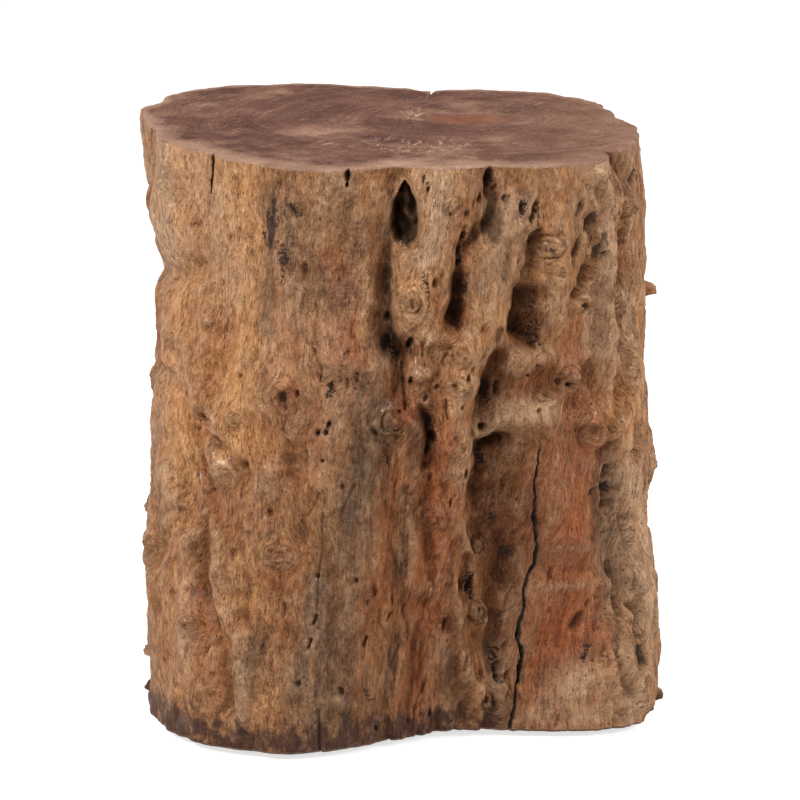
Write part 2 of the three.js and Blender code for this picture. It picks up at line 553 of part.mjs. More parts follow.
/** Glide: a disc with a countersunk seat for the nail's head and a rounded running edge. */
function glideGeometry() {
  const rim = glideDiameter / 2;
  const seat = nailHeadRecess + nailHeadThickness + seatGap;
  const bore = nailShankDiameter / 2 + seatGap;
  const mouth = nailHeadDiameter / 2 + seatGap;
  return turned([
    [mouth, 0], [rim - glideEdgeRound, 0], [rim - glideEdgeRound * 0.3, glideEdgeRound * 0.3],
    [rim, glideEdgeRound], [rim, glideThickness], [bore, glideThickness], [bore, seat], [mouth, seat], [mouth, 0],
  ], glideSides);
}

/** Nail, head down, point up in the wood. */
function nailGeometry() {
  const head = nailHeadDiameter / 2;
  const shank = nailShankDiameter / 2;
  const under = nailHeadRecess + nailHeadThickness;
  const tip = under + nailShankLength;
  return turned([
    [0, nailHeadRecess], [head * 0.8, nailHeadRecess], [head, nailHeadRecess + nailHeadThickness * 0.4],
    [head, under], [shank, under], [shank, tip - nailPointLength], [0, tip],
  ], nailSides);
}

// The stool.
const wood = new THREE.MeshStandardMaterial({ color: 0xa8744a, roughness: 0.6, metalness: 0 });
const nylon = new THREE.MeshStandardMaterial({ color: 0x5b4636, roughness: 0.45, metalness: 0 });
const steel = new THREE.MeshStandardMaterial({ color: 0xb9bcc0, roughness: 0.35, metalness: 0.9 });

const stool = new THREE.Group();
const standing = new THREE.Group();
stool.add(standing);

/** Adds one named piece to the stool. */
function addPiece(name, geometry, material, x = 0, y = 0) {
  const mesh = new THREE.Mesh(geometry, material);
  mesh.name = name;
  mesh.position.set(x, y, 0);
  standing.add(mesh);
  return mesh;
}

const trunk = addPiece('trunk', toGeometry(trunkSolid), wood);
glideAzimuths.forEach((azimuth, i) => {
  const place = glidePlace(azimuth);
  addPiece(`glide_${i + 1}`, glideGeometry(), nylon, place.x, place.y);
  addPiece(`glide_nail_${i + 1}`, nailGeometry(), steel, place.x, place.y);
});

// The origin lies under the middle of the trunk's box.
trunk.geometry.computeBoundingBox();
const middle = trunk.geometry.boundingBox.getCenter(new THREE.Vector3());
standing.position.set(-middle.x, -middle.y, 0);

export default stool;
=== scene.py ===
# %% [markdown]
# A stool sawn from one block of tree trunk.
# The bark is off, the wall is brushed down to hard silvery and honey fibres, and the seat and foot are
# sawn flat. Everything one sees of it is one piece of wood, so this lesson is about one question: how does
# a wall grow its furrows, knots, pits and splits, and how does its colour follow them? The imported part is
# loaded first. Its glides and nails stay as they are and get a finish, and its trunk is replaced by a
# finer one that is grown on a grid from the same outlines.

import math

import bpy
import numpy as np
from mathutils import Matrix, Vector
from mathutils.geometry import delaunay_2d_cdt


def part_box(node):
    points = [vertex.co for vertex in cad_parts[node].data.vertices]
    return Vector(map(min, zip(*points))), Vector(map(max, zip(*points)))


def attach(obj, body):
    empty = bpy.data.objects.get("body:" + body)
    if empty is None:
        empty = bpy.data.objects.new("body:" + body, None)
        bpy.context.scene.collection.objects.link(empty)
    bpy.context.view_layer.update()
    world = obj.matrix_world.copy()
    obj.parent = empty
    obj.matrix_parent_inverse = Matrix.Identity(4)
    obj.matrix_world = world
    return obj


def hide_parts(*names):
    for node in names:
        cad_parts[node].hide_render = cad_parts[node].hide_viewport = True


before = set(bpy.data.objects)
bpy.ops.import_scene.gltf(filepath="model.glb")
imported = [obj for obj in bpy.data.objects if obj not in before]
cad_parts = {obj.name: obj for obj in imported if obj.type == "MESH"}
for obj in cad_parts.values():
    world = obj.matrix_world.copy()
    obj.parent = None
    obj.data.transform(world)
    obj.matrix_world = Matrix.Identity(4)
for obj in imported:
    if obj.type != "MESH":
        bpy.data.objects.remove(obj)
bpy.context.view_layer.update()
scene = bpy.context.scene

# %% [markdown]
# The stool's own sizes. A trunk has no straight edge to measure along, so places on it are given as an
# azimuth in degrees, 0 at the front and 90 at the right, and a share of its height. Lengths on it are
# shares of its half width. That way every form keeps its place if the block is wider, deeper or taller.

# %% Sizes in metres
stool_width = 0.400
stool_depth = 0.350
stool_height = 0.450
depth_reach_share = 0.9  # how far the plan outlines reach front to back
foot_height = 0.0048  # the glides and the gap over them hold the foot off the floor
edge_wear = 0.0018  # rounding of the sawn edges
half_width = stool_width / 2
half_depth = stool_depth / 2 / depth_reach_share
trunk_height = stool_height - foot_height
height_per_half_width = trunk_height / half_width
girth_share = 0.88  # the wall's middle radius, for distances measured round it
glide_azimuths = [-52, 64, 132, -128]
glide_reach_share = 0.66


def plan_point(azimuth, share):
    """Plan place at an azimuth, a share of the half width out from the middle."""
    turn = np.radians(azimuth)
    return np.sin(turn) * share * half_width, -np.cos(turn) * share * half_depth


first_glide = sum((Vector(c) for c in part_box("glide_1")), Vector()) / 2
plan_x, plan_y = plan_point(glide_azimuths[0], glide_reach_share)
plan_shift = Vector((first_glide.x - plan_x, first_glide.y - plan_y, 0))
print("outlines sit", [round(x * 1000, 2) for x in plan_shift], "mm off the packed origin")

# %% [markdown]
# The camera stands well back with a long lens, as a catalogue picture is taken, so the wall's verticals
# stay almost parallel and the seat shows as a slim ellipse. The small upward shift puts the block where
# the photograph has it without tilting anything.

# %% Camera
camera_at = Vector((0, -4.0, 1.2638)) + plan_shift
camera_aim = Vector((0, 0, 0.225)) + plan_shift
camera_data = bpy.data.cameras.new("catalogue_camera")
camera_data.sensor_width = 36
camera_data.lens = 244.1
camera_data.shift_x = -0.0015
camera_data.shift_y = 0.0205
camera = bpy.data.objects.new("catalogue_camera", camera_data)
camera.location = camera_at
camera.rotation_euler = (camera_aim - camera_at).to_track_quat("-Z", "Y").to_euler()
scene.collection.objects.link(camera)
scene.camera = camera
scene.view_settings.view_transform = "Standard"
print("camera is", round((camera_aim - camera_at).length, 2), "m from the stool")

# %% [markdown]
# The wall is a grid of columns and rows. Fine relief needs points about a millimetre apart where it is
# looked at, so the columns crowd towards the front. A subdivided cylinder with a displacement modifier
# could do the same, but a grid of numbers lets one see and place each furrow, and gives masks for the
# finish from the same numbers.

# %% Grid of the wall
column_count = 760
row_count = 400
column_crowding = 20
turns = np.arange(column_count) / column_count
column_azimuths = -180 + 360 * turns + column_crowding * np.sin(2 * math.pi * turns)
row_shares = np.linspace(edge_wear / trunk_height, 1 - edge_wear / trunk_height, row_count)
azimuths = np.tile(column_azimuths, (row_count, 1))
heights = np.repeat(row_shares[:, None], column_count, axis=1)
front_gap = np.radians(np.diff(column_azimuths).min()) * girth_share * half_width
print("wall grid", azimuths.shape, "columns about", round(float(front_gap) * 1000, 2), "mm apart in front")

# %% [markdown]
# The block itself is a loft through seven plan outlines. Each outline is sixteen radii, and a Catmull-Rom
# curve runs smoothly through them round the trunk and up it.

# %% Loft through the plan outlines
section_shares = np.array([
    [0.83, 0.89, 0.96, 0.98, 0.95, 1.02, 1.0, 0.86, 0.6, 0.55, 0.74, 1.01, 0.93, 0.92, 0.89, 0.84],
    [0.83, 0.9, 0.97, 0.98, 0.965, 1.03, 0.985, 0.88, 0.65, 0.61, 0.76, 1.02, 0.965, 0.92, 0.88, 0.84],
    [0.83, 0.9, 0.98, 0.98, 0.955, 1.01, 0.96, 0.89, 0.71, 0.69, 0.83, 0.99, 0.94, 0.91, 0.88, 0.85],
    [0.82, 0.91, 0.99, 0.98, 0.95, 0.98, 0.94, 0.9, 0.75, 0.8, 0.9, 0.98, 0.935, 0.9, 0.88, 0.86],
    [0.81, 0.93, 1.02, 0.98, 0.92, 0.95, 0.91, 0.9, 0.79, 0.84, 0.93, 0.96, 0.92, 0.89, 0.89, 0.85],
    [0.8, 0.95, 1.06, 1.02, 0.935, 0.925, 0.88, 0.89, 0.78, 0.83, 0.95, 0.95, 0.925, 0.88, 0.9, 0.84],
    [0.8, 0.96, 1.1, 1.07, 0.95, 0.915, 0.87, 0.88, 0.76, 0.79, 0.98, 0.935, 0.885, 0.87, 0.91, 0.83],
])


def unit(values):
    """Values limited to 0 to 1."""
    return np.clip(values, 0, 1)


def spline(a, b, c, d, t):
    """Catmull-Rom value between b and c."""
    bend, twist = 2 * a - 5 * b + 4 * c - d, 3 * b - a - 3 * c + d
    return 0.5 * (2 * b + (c - a) * t + bend * t * t + twist * t ** 3)


def loft(azimuth, height):
    """Radius share of the smooth block."""
    last, count = section_shares.shape[0] - 1, section_shares.shape[1]
    across = ((azimuth + 180) % 360) * count / 360
    up = unit(height) * last
    column = np.floor(across).astype(int)
    row = np.minimum(np.floor(up).astype(int), last - 1)
    rings = []
    for step in (-1, 0, 1, 2):
        outline = np.clip(row + step, 0, last)
        radii = (section_shares[outline, (column + k) % count] for k in (-1, 0, 1, 2))
        rings.append(spline(*radii, across - column))
    return spline(*rings, up - row)


radius_shares = loft(azimuths, heights)
print("block radii", round(float(radius_shares.min()), 3), "to", round(float(radius_shares.max()), 3))

# %% [markdown]
# Much of the front is placed by looking: a pixel of the photograph is a line of sight from the camera, and
# the place is where that line first meets the wall. Before anything is carved the wall is the smooth
# block. Later it is the carved grid itself, so a knot that sits on a swelling lands where it is seen and
# not beside it.

# %% Places seen in the photograph
picture_width = 800
focal_pixels = camera_data.lens / camera_data.sensor_width * picture_width
centre_x = picture_width * (0.5 - camera_data.shift_x)
centre_y = picture_width * (0.5 + camera_data.shift_y)
eye = np.array(camera_at - plan_shift)
ahead = np.array((camera_aim - camera_at).normalized())
aside = np.array([1.0, 0.0, 0.0])
upward = np.cross(aside, ahead)
sight_steps = np.linspace(-0.24, 0.05, 600)  # depth towards the back of the stool, from in front of it


def seen(*pixels, wall=loft, sunk=0.0):
    """Azimuth and height share of each pixel's place on the front of a wall, or so far under it."""
    places = []
    for x, y in pixels:
        way = ahead + aside * (x - centre_x) / focal_pixels + upward * (centre_y - y) / focal_pixels
        at = eye + way * ((sight_steps - eye[1]) / way[1])[:, None]
        turn = np.degrees(np.arctan2(at[:, 0] / half_width, -at[:, 1] / half_depth))
        share = np.hypot(at[:, 0] / half_width, at[:, 1] / half_depth)
        rise = (at[:, 2] - foot_height) / trunk_height
        over = share - wall(turn, rise) + sunk
        met = np.flatnonzero(over < 0)
        nearest = met[0] if len(met) else int(np.argmin(over))
        places.append((float(turn[nearest]), float(rise[nearest])))
    return places


def places(points, look):
    """Places along a line. Pixels stand in round brackets and are looked up, places stand in square ones."""
    return [look(point)[0] if isinstance(point, tuple) else point for point in points]


check_top = (540, 442)
print("the long check starts at", [round(v, 2) for v in seen(check_top)[0]])

# %% [markdown]
# Checks are the splits that drying opens towards the heart. A narrow split needs grid lines that run along
# both of its lips, so before anything else the columns near one are bent to follow it. Cutting with a
# boolean would leave ragged triangles here and would lose the grid that the finish depends on. Each
# station is azimuth, share of the height, width and depth, the last two as shares of the half width.

# %% Checks, and columns that follow them
long_check_shares = [
    # pixel, width, depth
    [(537, 446), 0.0015, 0.03], [(537, 454), 0.002, 0.07], [(536, 466), 0.003, 0.1],
    [(536, 486), 0.003, 0.12], [(536, 508), 0.004, 0.13], [(535, 518), 0.008, 0.14],
    [(538, 527), 0.005, 0.14], [(538, 540), 0.003, 0.14], [(540, 549), 0.003, 0.14],
    [(537, 558), 0.006, 0.14], [(538, 565), 0.006, 0.14], [(532, 574), 0.004, 0.14],
    [(525, 583), 0.003, 0.14], [(522, 592), 0.003, 0.14], [(525, 602), 0.004, 0.14],
    [(523, 614), 0.004, 0.15], [(520, 622), 0.007, 0.15], [(517, 634), 0.011, 0.15],
    [(517, 641), 0.006, 0.15], [(520, 648), 0.008, 0.15], [(520, 658), 0.013, 0.16],
    [(518, 668), 0.017, 0.16], [(518, 679), 0.014, 0.16], [(516, 690), 0.006, 0.16],
    [(512, 700), 0.004, 0.15], [(507, 708), 0.006, 0.15], [(508, 718), 0.005, 0.15],
    [(509, 730), 0.007, 0.15],
]
panel_top_y, panel_tall = 440, 290  # the hollow panel in the photograph, in pixels
panel_sunk, panel_deepens = 0.01, 0.03  # how far it lies under the smooth block, and how much more below


def panel_place(pixel):
    """Place of a pixel on the hollow panel."""
    return seen(pixel, sunk=panel_sunk + panel_deepens * (pixel[1] - panel_top_y) / panel_tall)[0]


check_shares = [
    [[*panel_place(pixel), width, depth] for pixel, width, depth in long_check_shares],
    [[171, 0.86, 0.003, 0.03], [171, 0.93, 0.014, 0.11], [170, 1.02, 0.026, 0.15]],
    [[-54, 0.93, 0.003, 0.02], [-54.3, 0.955, 0.006, 0.03], [-54, 0.97, 0.01, 0.035],
     [-54, 1.02, 0.013, 0.04]],
    [[53, 0.95, 0.003, 0.03], [51, 1.02, 0.009, 0.12]],
    [[86, 0.97, 0.004, 0.03], [85, 1.02, 0.016, 0.09]],
]
check_reach_columns = 14
lip_degrees = 0.08
lip_depth_share = 0.006
wall_depths = (0.62, 0.68)  # how deep the columns left and right of the bottom go, as shares of its depth
check_radius_share = 0.7  # where the width is measured
end_taper, bend_taper = 0.01, 0.05  # heights over which a check closes and its columns straighten
jag_waves = ((0.1, 148, 0), (0.08, 281, 1), (0.05, 497, 2))  # degrees aside, how often, and where they start
width_wave = (0.3, 211, 2)  # share of the width, how often, and where it starts
check_dives = []
for stations in check_shares:
    stations = np.array(sorted(stations, key=lambda s: s[1]))
    middle = int(np.argmin(np.abs(column_azimuths - stations[:, 0].mean())))
    jag = sum(aside_by * np.sin(row_shares * often + start) for aside_by, often, start in jag_waves)
    path, width, depth = (np.interp(row_shares, stations[:, 1], stations[:, k]) for k in (0, 2, 3))
    path = path + jag
    width = width * (1 + width_wave[0] * np.sin(row_shares * width_wave[1] + width_wave[2]))
    low, high = stations[0, 1], stations[-1, 1]
    from_foot = low <= 0.02
    beyond = row_shares - high if from_foot else np.maximum(low - row_shares, row_shares - high)
    open_share = unit(-beyond / end_taper)
    bend_share = unit(1 - beyond / bend_taper) ** 2
    half = np.degrees(width / 2 / check_radius_share)
    mouth = {-3: path - half - lip_degrees, -2: path - half, -1: path - half / 2, 0: path,
             1: path + half / 2, 2: path + half, 3: path + half + lip_degrees}
    for step in range(-check_reach_columns, check_reach_columns + 1):
        column = (middle + step) % column_count
        side = max(min(step, 3), -3)
        moved = mouth[side] - column_azimuths[(middle + side) % column_count]
        ease = 1 - max(abs(step) - 3, 0) / (check_reach_columns - 3)
        azimuths[:, column] += bend_share * ease * moved
    lip_depth = np.minimum(depth, lip_depth_share)
    dives = (lip_depth, wall_depths[0] * depth, depth, wall_depths[1] * depth, lip_depth)
    for step, dive in zip((-2, -1, 0, 1, 2), dives):
        check_dives.append(((middle + step) % column_count, dive * open_share))
least_gap = float(np.diff(azimuths, axis=1).min())
print(len(check_shares), "checks, narrowest column gap", round(least_gap, 3), "degrees")

# %% [markdown]
# Two measures do most of the sculpting. One is how far a place is from a line drawn on the wall, the other
# is smooth noise that closes on itself round the trunk. Both work on the whole grid at once.

# %% Distances on the wall
def flat_offset(at, azimuth, height):
    """Offset from a place on the wall, round it and up it, in shares of the half width."""
    across = ((azimuth - at[0] + 180) % 360 - 180) * math.pi / 180 * girth_share
    return across, (height - at[1]) * height_per_half_width


def grid_offset(at):
    """Offsets of the whole grid from a place."""
    return flat_offset(at, azimuths, heights)


def line_reach(line, azimuth=None, height=None):
    """Distance of every grid place from a line of places, in shares of the half width."""
    azimuth = azimuths if azimuth is None else azimuth
    height = heights if height is None else height
    nearest = np.full(azimuth.shape, np.inf)
    for a, b in zip(line, line[1:] if len(line) > 1 else line):
        x, y = flat_offset(a, azimuth, height)
        dx, dy = flat_offset(a, np.float64(b[0]), np.float64(b[1]))
        length = dx * dx + dy * dy
        along = unit((x * dx + y * dy) / length) if length > 0 else 0
        nearest = np.minimum(nearest, np.hypot(x - dx * along, y - dy * along))
    return nearest


def hill(values, middle, reach, power=2):
    """1 at the middle, fading to 0 over reach to each side. A higher power gives a flatter top."""
    return np.exp(-((values - middle) / reach) ** power)


def soft_band(line, half):
    """1 on a line, fading to 0 over half to each side."""
    return hill(line_reach(line), 0, half)


def soft_spot(azimuth, wide, height, tall, power):
    """1 at a place on the wall, fading to 0 over so many degrees and so much of the height."""
    return np.exp(-((azimuths - azimuth) / wide) ** power - ((heights - height) / tall) ** power)


# %% Noise that closes round the trunk
column_scatter, row_scatter, seed_scatter, scatter_gain = 12.9898, 78.233, 37.719, 43758.5453
noise_gain = 1.6
noise_margin = 3  # rows of the lattice below the foot and above the seat


def wall_noise(around, up, cells_round, cells_up, seed):
    """Smooth noise from -1 to 1. around is in turns and up in shares of the height."""
    row_number, column_number = np.mgrid[0:cells_up + 2 * noise_margin + 2, 0:cells_round]
    mixed = np.sin(column_number * column_scatter + row_number * row_scatter + seed * seed_scatter)
    mixed = mixed * scatter_gain
    lattice = 2 * math.pi * (mixed - np.floor(mixed))
    u = (around % 1.0) * cells_round
    v = np.clip(up * cells_up + noise_margin, 0, cells_up + 2 * noise_margin)
    i, j = np.floor(u).astype(int), np.floor(v).astype(int)
    fu, fv = u - i, v - j
    total = 0
    su, sv = fu ** 3 * (fu * (fu * 6 - 15) + 10), fv ** 3 * (fv * (fv * 6 - 15) + 10)
    for di, wu in ((0, 1 - su), (1, su)):
        for dj, wv in ((0, 1 - sv), (1, sv)):
            angle = lattice[j + dj, (i + di) % cells_round]
            total = total + wu * wv * (np.cos(angle) * (fu - di) + np.sin(angle) * (fv - dj))
    return total * noise_gain


print("noise spread", round(float(wall_noise(azimuths / 360, heights, 40, 20, 1).std()), 3))

# %% [markdown]
# Now the large furrows, hollows and ridges, each a soft dip along a drawn line; a negative depth stands
# out. On the front they are drawn where the photograph shows them, and round the sides and back as
# azimuths and heights. A little noise bends every line, and varies its depth, so that none looks ruled.

# %% Furrows, hollows and ridges
front_shares = [
    # half width, depth, and the points of the line
    # The step and groove beside the broad left face, and the hollow at its foot.
    [0.052, 0.05, (397, 180), (391, 215), (385, 250), (383, 290), (386, 330), (396, 356), (402, 385)],
    [0.024, 0.02, (386, 230), (383, 260), (381, 300), (386, 340)], [0.045, 0.05, (392, 345), (408, 352)],
    [0.03, -0.02, (372, 190), (368, 260), (364, 330), (370, 380)],
    # Slanting grooves between the lobes of the right half.
    [0.022, 0.04, (486, 178), (490, 192)],
    [0.034, 0.07, (498, 200), (492, 224), (470, 250), (462, 284), (457, 322)],
    [0.024, 0.03, (459, 280), (456, 318)], [0.024, 0.03, (518, 186), (516, 214)],
    [0.036, 0.05, (535, 240), (532, 270)], [0.056, 0.1, (530, 296), (530, 318), (528, 334)],
    [0.03, 0.05, (532, 300), (531, 332)], [0.046, 0.075, (497, 362), (490, 390), (486, 426)],
    [0.03, 0.05, (425, 412), (428, 440), (430, 465)], [0.04, 0.035, (541, 376), (536, 392)],
    [0.03, 0.03, (600, 352), (590, 380), (578, 404)], [0.03, 0.02, (628, 360), (620, 390)],
    # The lobes between them, the last ending in a lip over the hollow panel.
    [0.075, -0.045, (440, 182), (426, 243), (412, 272), (408, 307), (420, 333)],
    [0.05, -0.02, (472, 178), (478, 200)],
    [0.065, -0.05, (512, 210), (494, 240), (481, 268), (486, 300), (470, 335), (464, 370), (458, 400)],
    [0.045, -0.025, (468, 352), (462, 380)], [0.075, -0.035, (562, 190), (560, 240), (562, 300), (566, 330)],
    [0.035, -0.035, (600, 172), (614, 208), (609, 250), (610, 300), (607, 336), (599, 352)],
    [0.05, -0.05, (459, 470), (471, 436), (498, 422), (528, 416), (549, 424)],
    [0.04, -0.03, (516, 372), (528, 354), (548, 350), (566, 362), (568, 384), (552, 400)],
    [0.03, -0.02, (510, 392), (520, 402)], [0.04, -0.035, (384, 426), (398, 418)],
    [0.045, -0.03, (456, 420), (458, 480), (456, 530), (468, 556)],
    [0.04, -0.03, (474, 560), (455, 592), (455, 640), (476, 690)],
    [0.06, -0.022, (415, 480), (414, 540), (405, 600), (400, 665), (392, 725)],
    [0.05, -0.02, (440, 505), (440, 560), (430, 640), (424, 705)],
    [0.04, 0.022, (428, 490), (426, 550), (416, 620), (408, 690)],
    [0.05, -0.02, (372, 440), (366, 520), (352, 600), (340, 700)],
    # The hollow panel under the lip, its pits, and the bay where it meets the foot.
    [0.11, 0.08, (497, 475), (498, 520), (500, 550)], [0.09, 0.05, (500, 560), (496, 600), (494, 640)],
    [0.04, 0.07, (478, 450), (490, 452), (506, 443)], [0.036, 0.04, (486, 480), (488, 510)],
    [0.05, 0.03, (474, 500), (476, 535)], [0.046, 0.04, (515, 548), (513, 576)],
    [0.034, 0.06, (468, 560), (466, 592)], [0.04, 0.04, (502, 612), (500, 668)],
    [0.045, 0.05, (496, 700), (490, 745)], [0.05, 0.02, (474, 600), (480, 640)],
    # Folds down the right-hand side.
    [0.05, 0.075, (626, 150), (631, 190)], [0.03, 0.035, (624, 222), (626, 262), (622, 300), (625, 350)],
    [0.035, -0.025, (632, 380), (630, 404), (620, 428), (600, 446)],
    [0.026, 0.035, (604, 448), (608, 480), (606, 512)], [0.034, 0.025, (614, 520), (616, 560), (616, 604)],
    [0.024, 0.03, (626, 570), (638, 610), (634, 650)],
    [0.04, -0.03, (634, 480), (641, 520), (632, 556), (645, 602), (640, 660), (646, 702)],
    [0.03, 0.02, (590, 560), (594, 610), (602, 660)], [0.05, -0.02, (560, 470), (556, 520)],
    [0.04, 0.012, (545, 575), (610, 570)], [0.03, -0.01, (545, 588), (612, 584)],
    # The waist, the folds and the shallow hollows of the left half.
    [0.055, 0.045, [-96, 0.77], (168, 276), (194, 268)],
    [0.09, -0.022, [-90, 0.9], [-84, 0.88], (160, 220), (180, 214)], [0.06, -0.02, [-110, 1.0], [-108, 0.9]],
    [0.05, 0.03, (152, 548), (160, 540)], [0.07, -0.025, [-72, 0.0], [-66, 0.02]],
    [0.05, 0.02, (150, 700), (154, 708)], [0.09, -0.02, [86, 1.0], [84, 0.88]],
    [0.08, -0.03, [92, 0.0], [80, 0.05], [84, 0.12]],
    [0.034, 0.04, [-80, 0.62], (162, 382), (176, 414), (190, 444), (209, 493), (214, 512)],
    [0.06, -0.03, (178, 340), (196, 392), (214, 418), (226, 470)], [0.07, -0.03, (166, 470), (176, 530)],
    [0.036, 0.045, (201, 530), (200, 577), (211, 612), (223, 646), (227, 708)],
    [0.045, -0.03, (218, 540), (216, 590), (230, 632), (244, 684), (246, 726)],
    [0.05, -0.02, (186, 560), (184, 620), (196, 690)], [0.036, 0.035, (198, 420), (203, 427)],
    [0.03, 0.03, (215, 441), (226, 452)], [0.034, 0.03, (240, 466), (244, 474)],
    [0.055, 0.035, (286, 452), (290, 474)], [0.05, 0.03, (172, 512), (176, 522)],
    [0.05, 0.028, (236, 600), (238, 618)], [0.06, -0.02, (262, 470), (258, 520), (268, 560)],
    [0.05, 0.02, (305, 500), (300, 560), (292, 640)], [0.05, -0.016, (245, 300), (250, 370), (240, 420)],
    [0.05, 0.016, (222, 290), (226, 350), (216, 392)],
]
back_shares = [
    # Flutes and lobes round the sides and the back.
    [0.045, 0.04, [84, 0.95], [80, 0.75], [82, 0.5], [78, 0.34]],
    [0.05, 0.04, [97, 0.9], [100, 0.6], [95, 0.3], [98, 0]],
    [0.08, 0.08, [172, 1.02], [170, 0.8], [165, 0.6]], [0.1, 0.06, [148, 0.9], [144, 0.5], [150, 0.1]],
    [0.09, 0.07, [-165, 0], [-160, 0.4], [-168, 0.8]], [0.09, 0.06, [-118, 0.62], [-113, 0.3], [-118, 0]],
    [0.09, 0.055, [120, 0.75], [124, 0.35], [120, 0]],
    [0.12, -0.05, [-142, 0.75], [-136, 0.55], [-140, 0.2]], [0.1, -0.04, [132, 0.3], [134, 0]],
    [0.05, 0.04, [110, 0.95], [114, 0.78]], [0.06, -0.03, [158, 0.8], [152, 0.6], [158, 0.4]],
    [0.05, 0.04, [-150, 0.95], [-146, 0.8]], [0.05, 0.035, [-100, 0.95], [-104, 0.8], [-100, 0.66]],
    [0.05, -0.03, [-128, 0.3], [-126, 0.1]],
]
around, up = azimuths / 360, heights


def ripples(cells_round, cells_up, seed):
    """Smooth noise over the whole wall."""
    return wall_noise(around, up, cells_round, cells_up, seed)


bent_azimuths = azimuths + 0.9 * ripples(34, 13, 13) + 0.5 * ripples(90, 34, 14)
bent_heights = heights + 0.004 * ripples(40, 18, 15)
uneven = 1 + 0.35 * ripples(34, 14, 16)
floor_share, flank_share, flank_fall = 0.65, 0.35, 1.6  # a furrow has a round floor and long flanks
for half, deep, *points in front_shares + back_shares:
    reach = line_reach(places(points, seen), bent_azimuths, bent_heights) / half
    section = floor_share * np.exp(-reach ** 2) + flank_share / (1 + reach ** 2) ** flank_fall
    radius_shares -= deep * uneven * section

# Slow flutes: how many round the trunk, their rise, and how far and often they sway on the way up.
flute_shares = (
    (7, 0.009, 0.9, 0.8, 0.4), (13, 0.008, 1.3, 1.3, 1.7),
    (23, 0.006, 1.8, 1.9, 2.6), (37, 0.004, 2.2, 2.4, 0.9),
)
for count, rise, sway, sways, start in flute_shares:
    swing = sway * np.sin(2 * math.pi * sways * heights + start)
    radius_shares += rise * np.sin(count * np.radians(azimuths) + swing)
print("after the furrows", round(float(radius_shares.min()), 3), "to", round(float(radius_shares.max()), 3))


def carved(azimuth, height):
    """Radius share of the wall as it now stands, read off the grid."""
    across = np.interp((azimuth + 180) % 360 - 180, column_azimuths, np.arange(column_count))
    rise = unit((height - row_shares[0]) / (row_shares[-1] - row_shares[0])) * (row_count - 1)
    column = np.minimum(np.floor(across).astype(int), column_count - 2)
    row = np.minimum(np.floor(rise).astype(int), row_count - 2)
    s, t = across - column, rise - row
    lower = radius_shares[row, column] * (1 - s) + radius_shares[row, column + 1] * s
    upper = radius_shares[row + 1, column] * (1 - s) + radius_shares[row + 1, column + 1] * s
    return lower * (1 - t) + upper * t


def spot(*pixels):
    """Places of pixels on the wall as it now stands."""
    return seen(*pixels, wall=carved)


# %% [markdown]
# Grain is what makes wood look grown. Fibres run up the trunk, lean to one side across the front right,
# and part round every knot like water round a stone. So each fibre keeps its number, and near a knot the
# number is pushed aside. Everything fibrous later reads these grain places instead of plain ones.

# %% Knots
front_knot_shares = [
    # pixel, radius, rise, how deep the heart is sunk against the rise
    [(592, 432), 0.064, 0.032, 0.3], [(411, 304), 0.06, 0.03, 0.3], [(390, 424), 0.058, 0.04, 0.1],
    [(477, 546), 0.04, 0.034, 0.3], [(479, 612), 0.046, 0.034, 0.4], [(489, 702), 0.044, 0.034, 0.4],
    [(632, 207), 0.05, 0.02, 0.2], [(549, 246), 0.05, 0.016, 0.0], [(562, 270), 0.036, 0.012, 0.0],
    [(579, 304), 0.034, 0.042, 0.9], [(563, 383), 0.034, 0.03, 0.8], [(575, 374), 0.04, 0.03, 0.0],
    [(282, 398), 0.07, 0.014, 0.9], [(456, 386), 0.05, 0.035, 0.0], [(278, 556), 0.06, 0.02, 0.2],
    [(535, 365), 0.03, 0.022, 0.6], [(525, 374), 0.024, 0.016, 0.6], [(546, 396), 0.04, 0.024, 0.1],
    [(455, 356), 0.05, 0.026, 0.1], [(293, 211), 0.036, 0.006, 0.5], [(182, 626), 0.02, 0.01, 0.6],
    [(458, 206), 0.024, 0.01, 0.6], [(414, 384), 0.05, 0.03, 0.2], [(232, 420), 0.034, 0.006, 0.3],
]
knot_shares = [[spot(pixel)[0], *rest] for pixel, *rest in front_knot_shares] + [
    [(-72, 0.3), 0.07, 0.02, 0.3], [(76, 0.45), 0.05, 0.042, 0.0],
    [(162, 0.35), 0.09, 0.04, 0.4], [(-140, 0.7), 0.07, 0.04, 0.8], [(112, 0.72), 0.08, 0.035, 0.4],
    [(-104, 0.3), 0.08, 0.035, 0.4], [(126, 0.5), 0.05, 0.03, 0.7], [(-118, 0.82), 0.05, 0.03, 0.7],
    [(178, 0.62), 0.06, 0.03, 0.6], [(-92, 0.56), 0.05, 0.022, 0.6], [(92, 0.2), 0.055, 0.03, 0.6],
    [(-158, 0.24), 0.06, 0.03, 0.6], [(146, 0.86), 0.05, 0.03, 0.7], [(104, 0.42), 0.04, 0.026, 0.7],
    [(-126, 0.46), 0.04, 0.024, 0.6],
]
# Places where the grain swirls although no knot stands out.
swirl_shares = [
    [(-70, 0.93), 0.1], [(-66, 0.66), 0.06], [(-44, 0.47), 0.06], [(-17, 0.66), 0.05], [(8, 0.4), 0.06],
    [(47, 0.33), 0.05], [(-52, 0.2), 0.06], [(15, 0.2), 0.06], [(64, 0.62), 0.05],
]
print(len(knot_shares), "knots and", len(swirl_shares), "swirls")

# %% [markdown]
# A stone in a stream pushes the flow aside by an amount that falls with the square of the distance, and
# each knot is such a stone. The push is limited near its heart and fades out a few radii away.

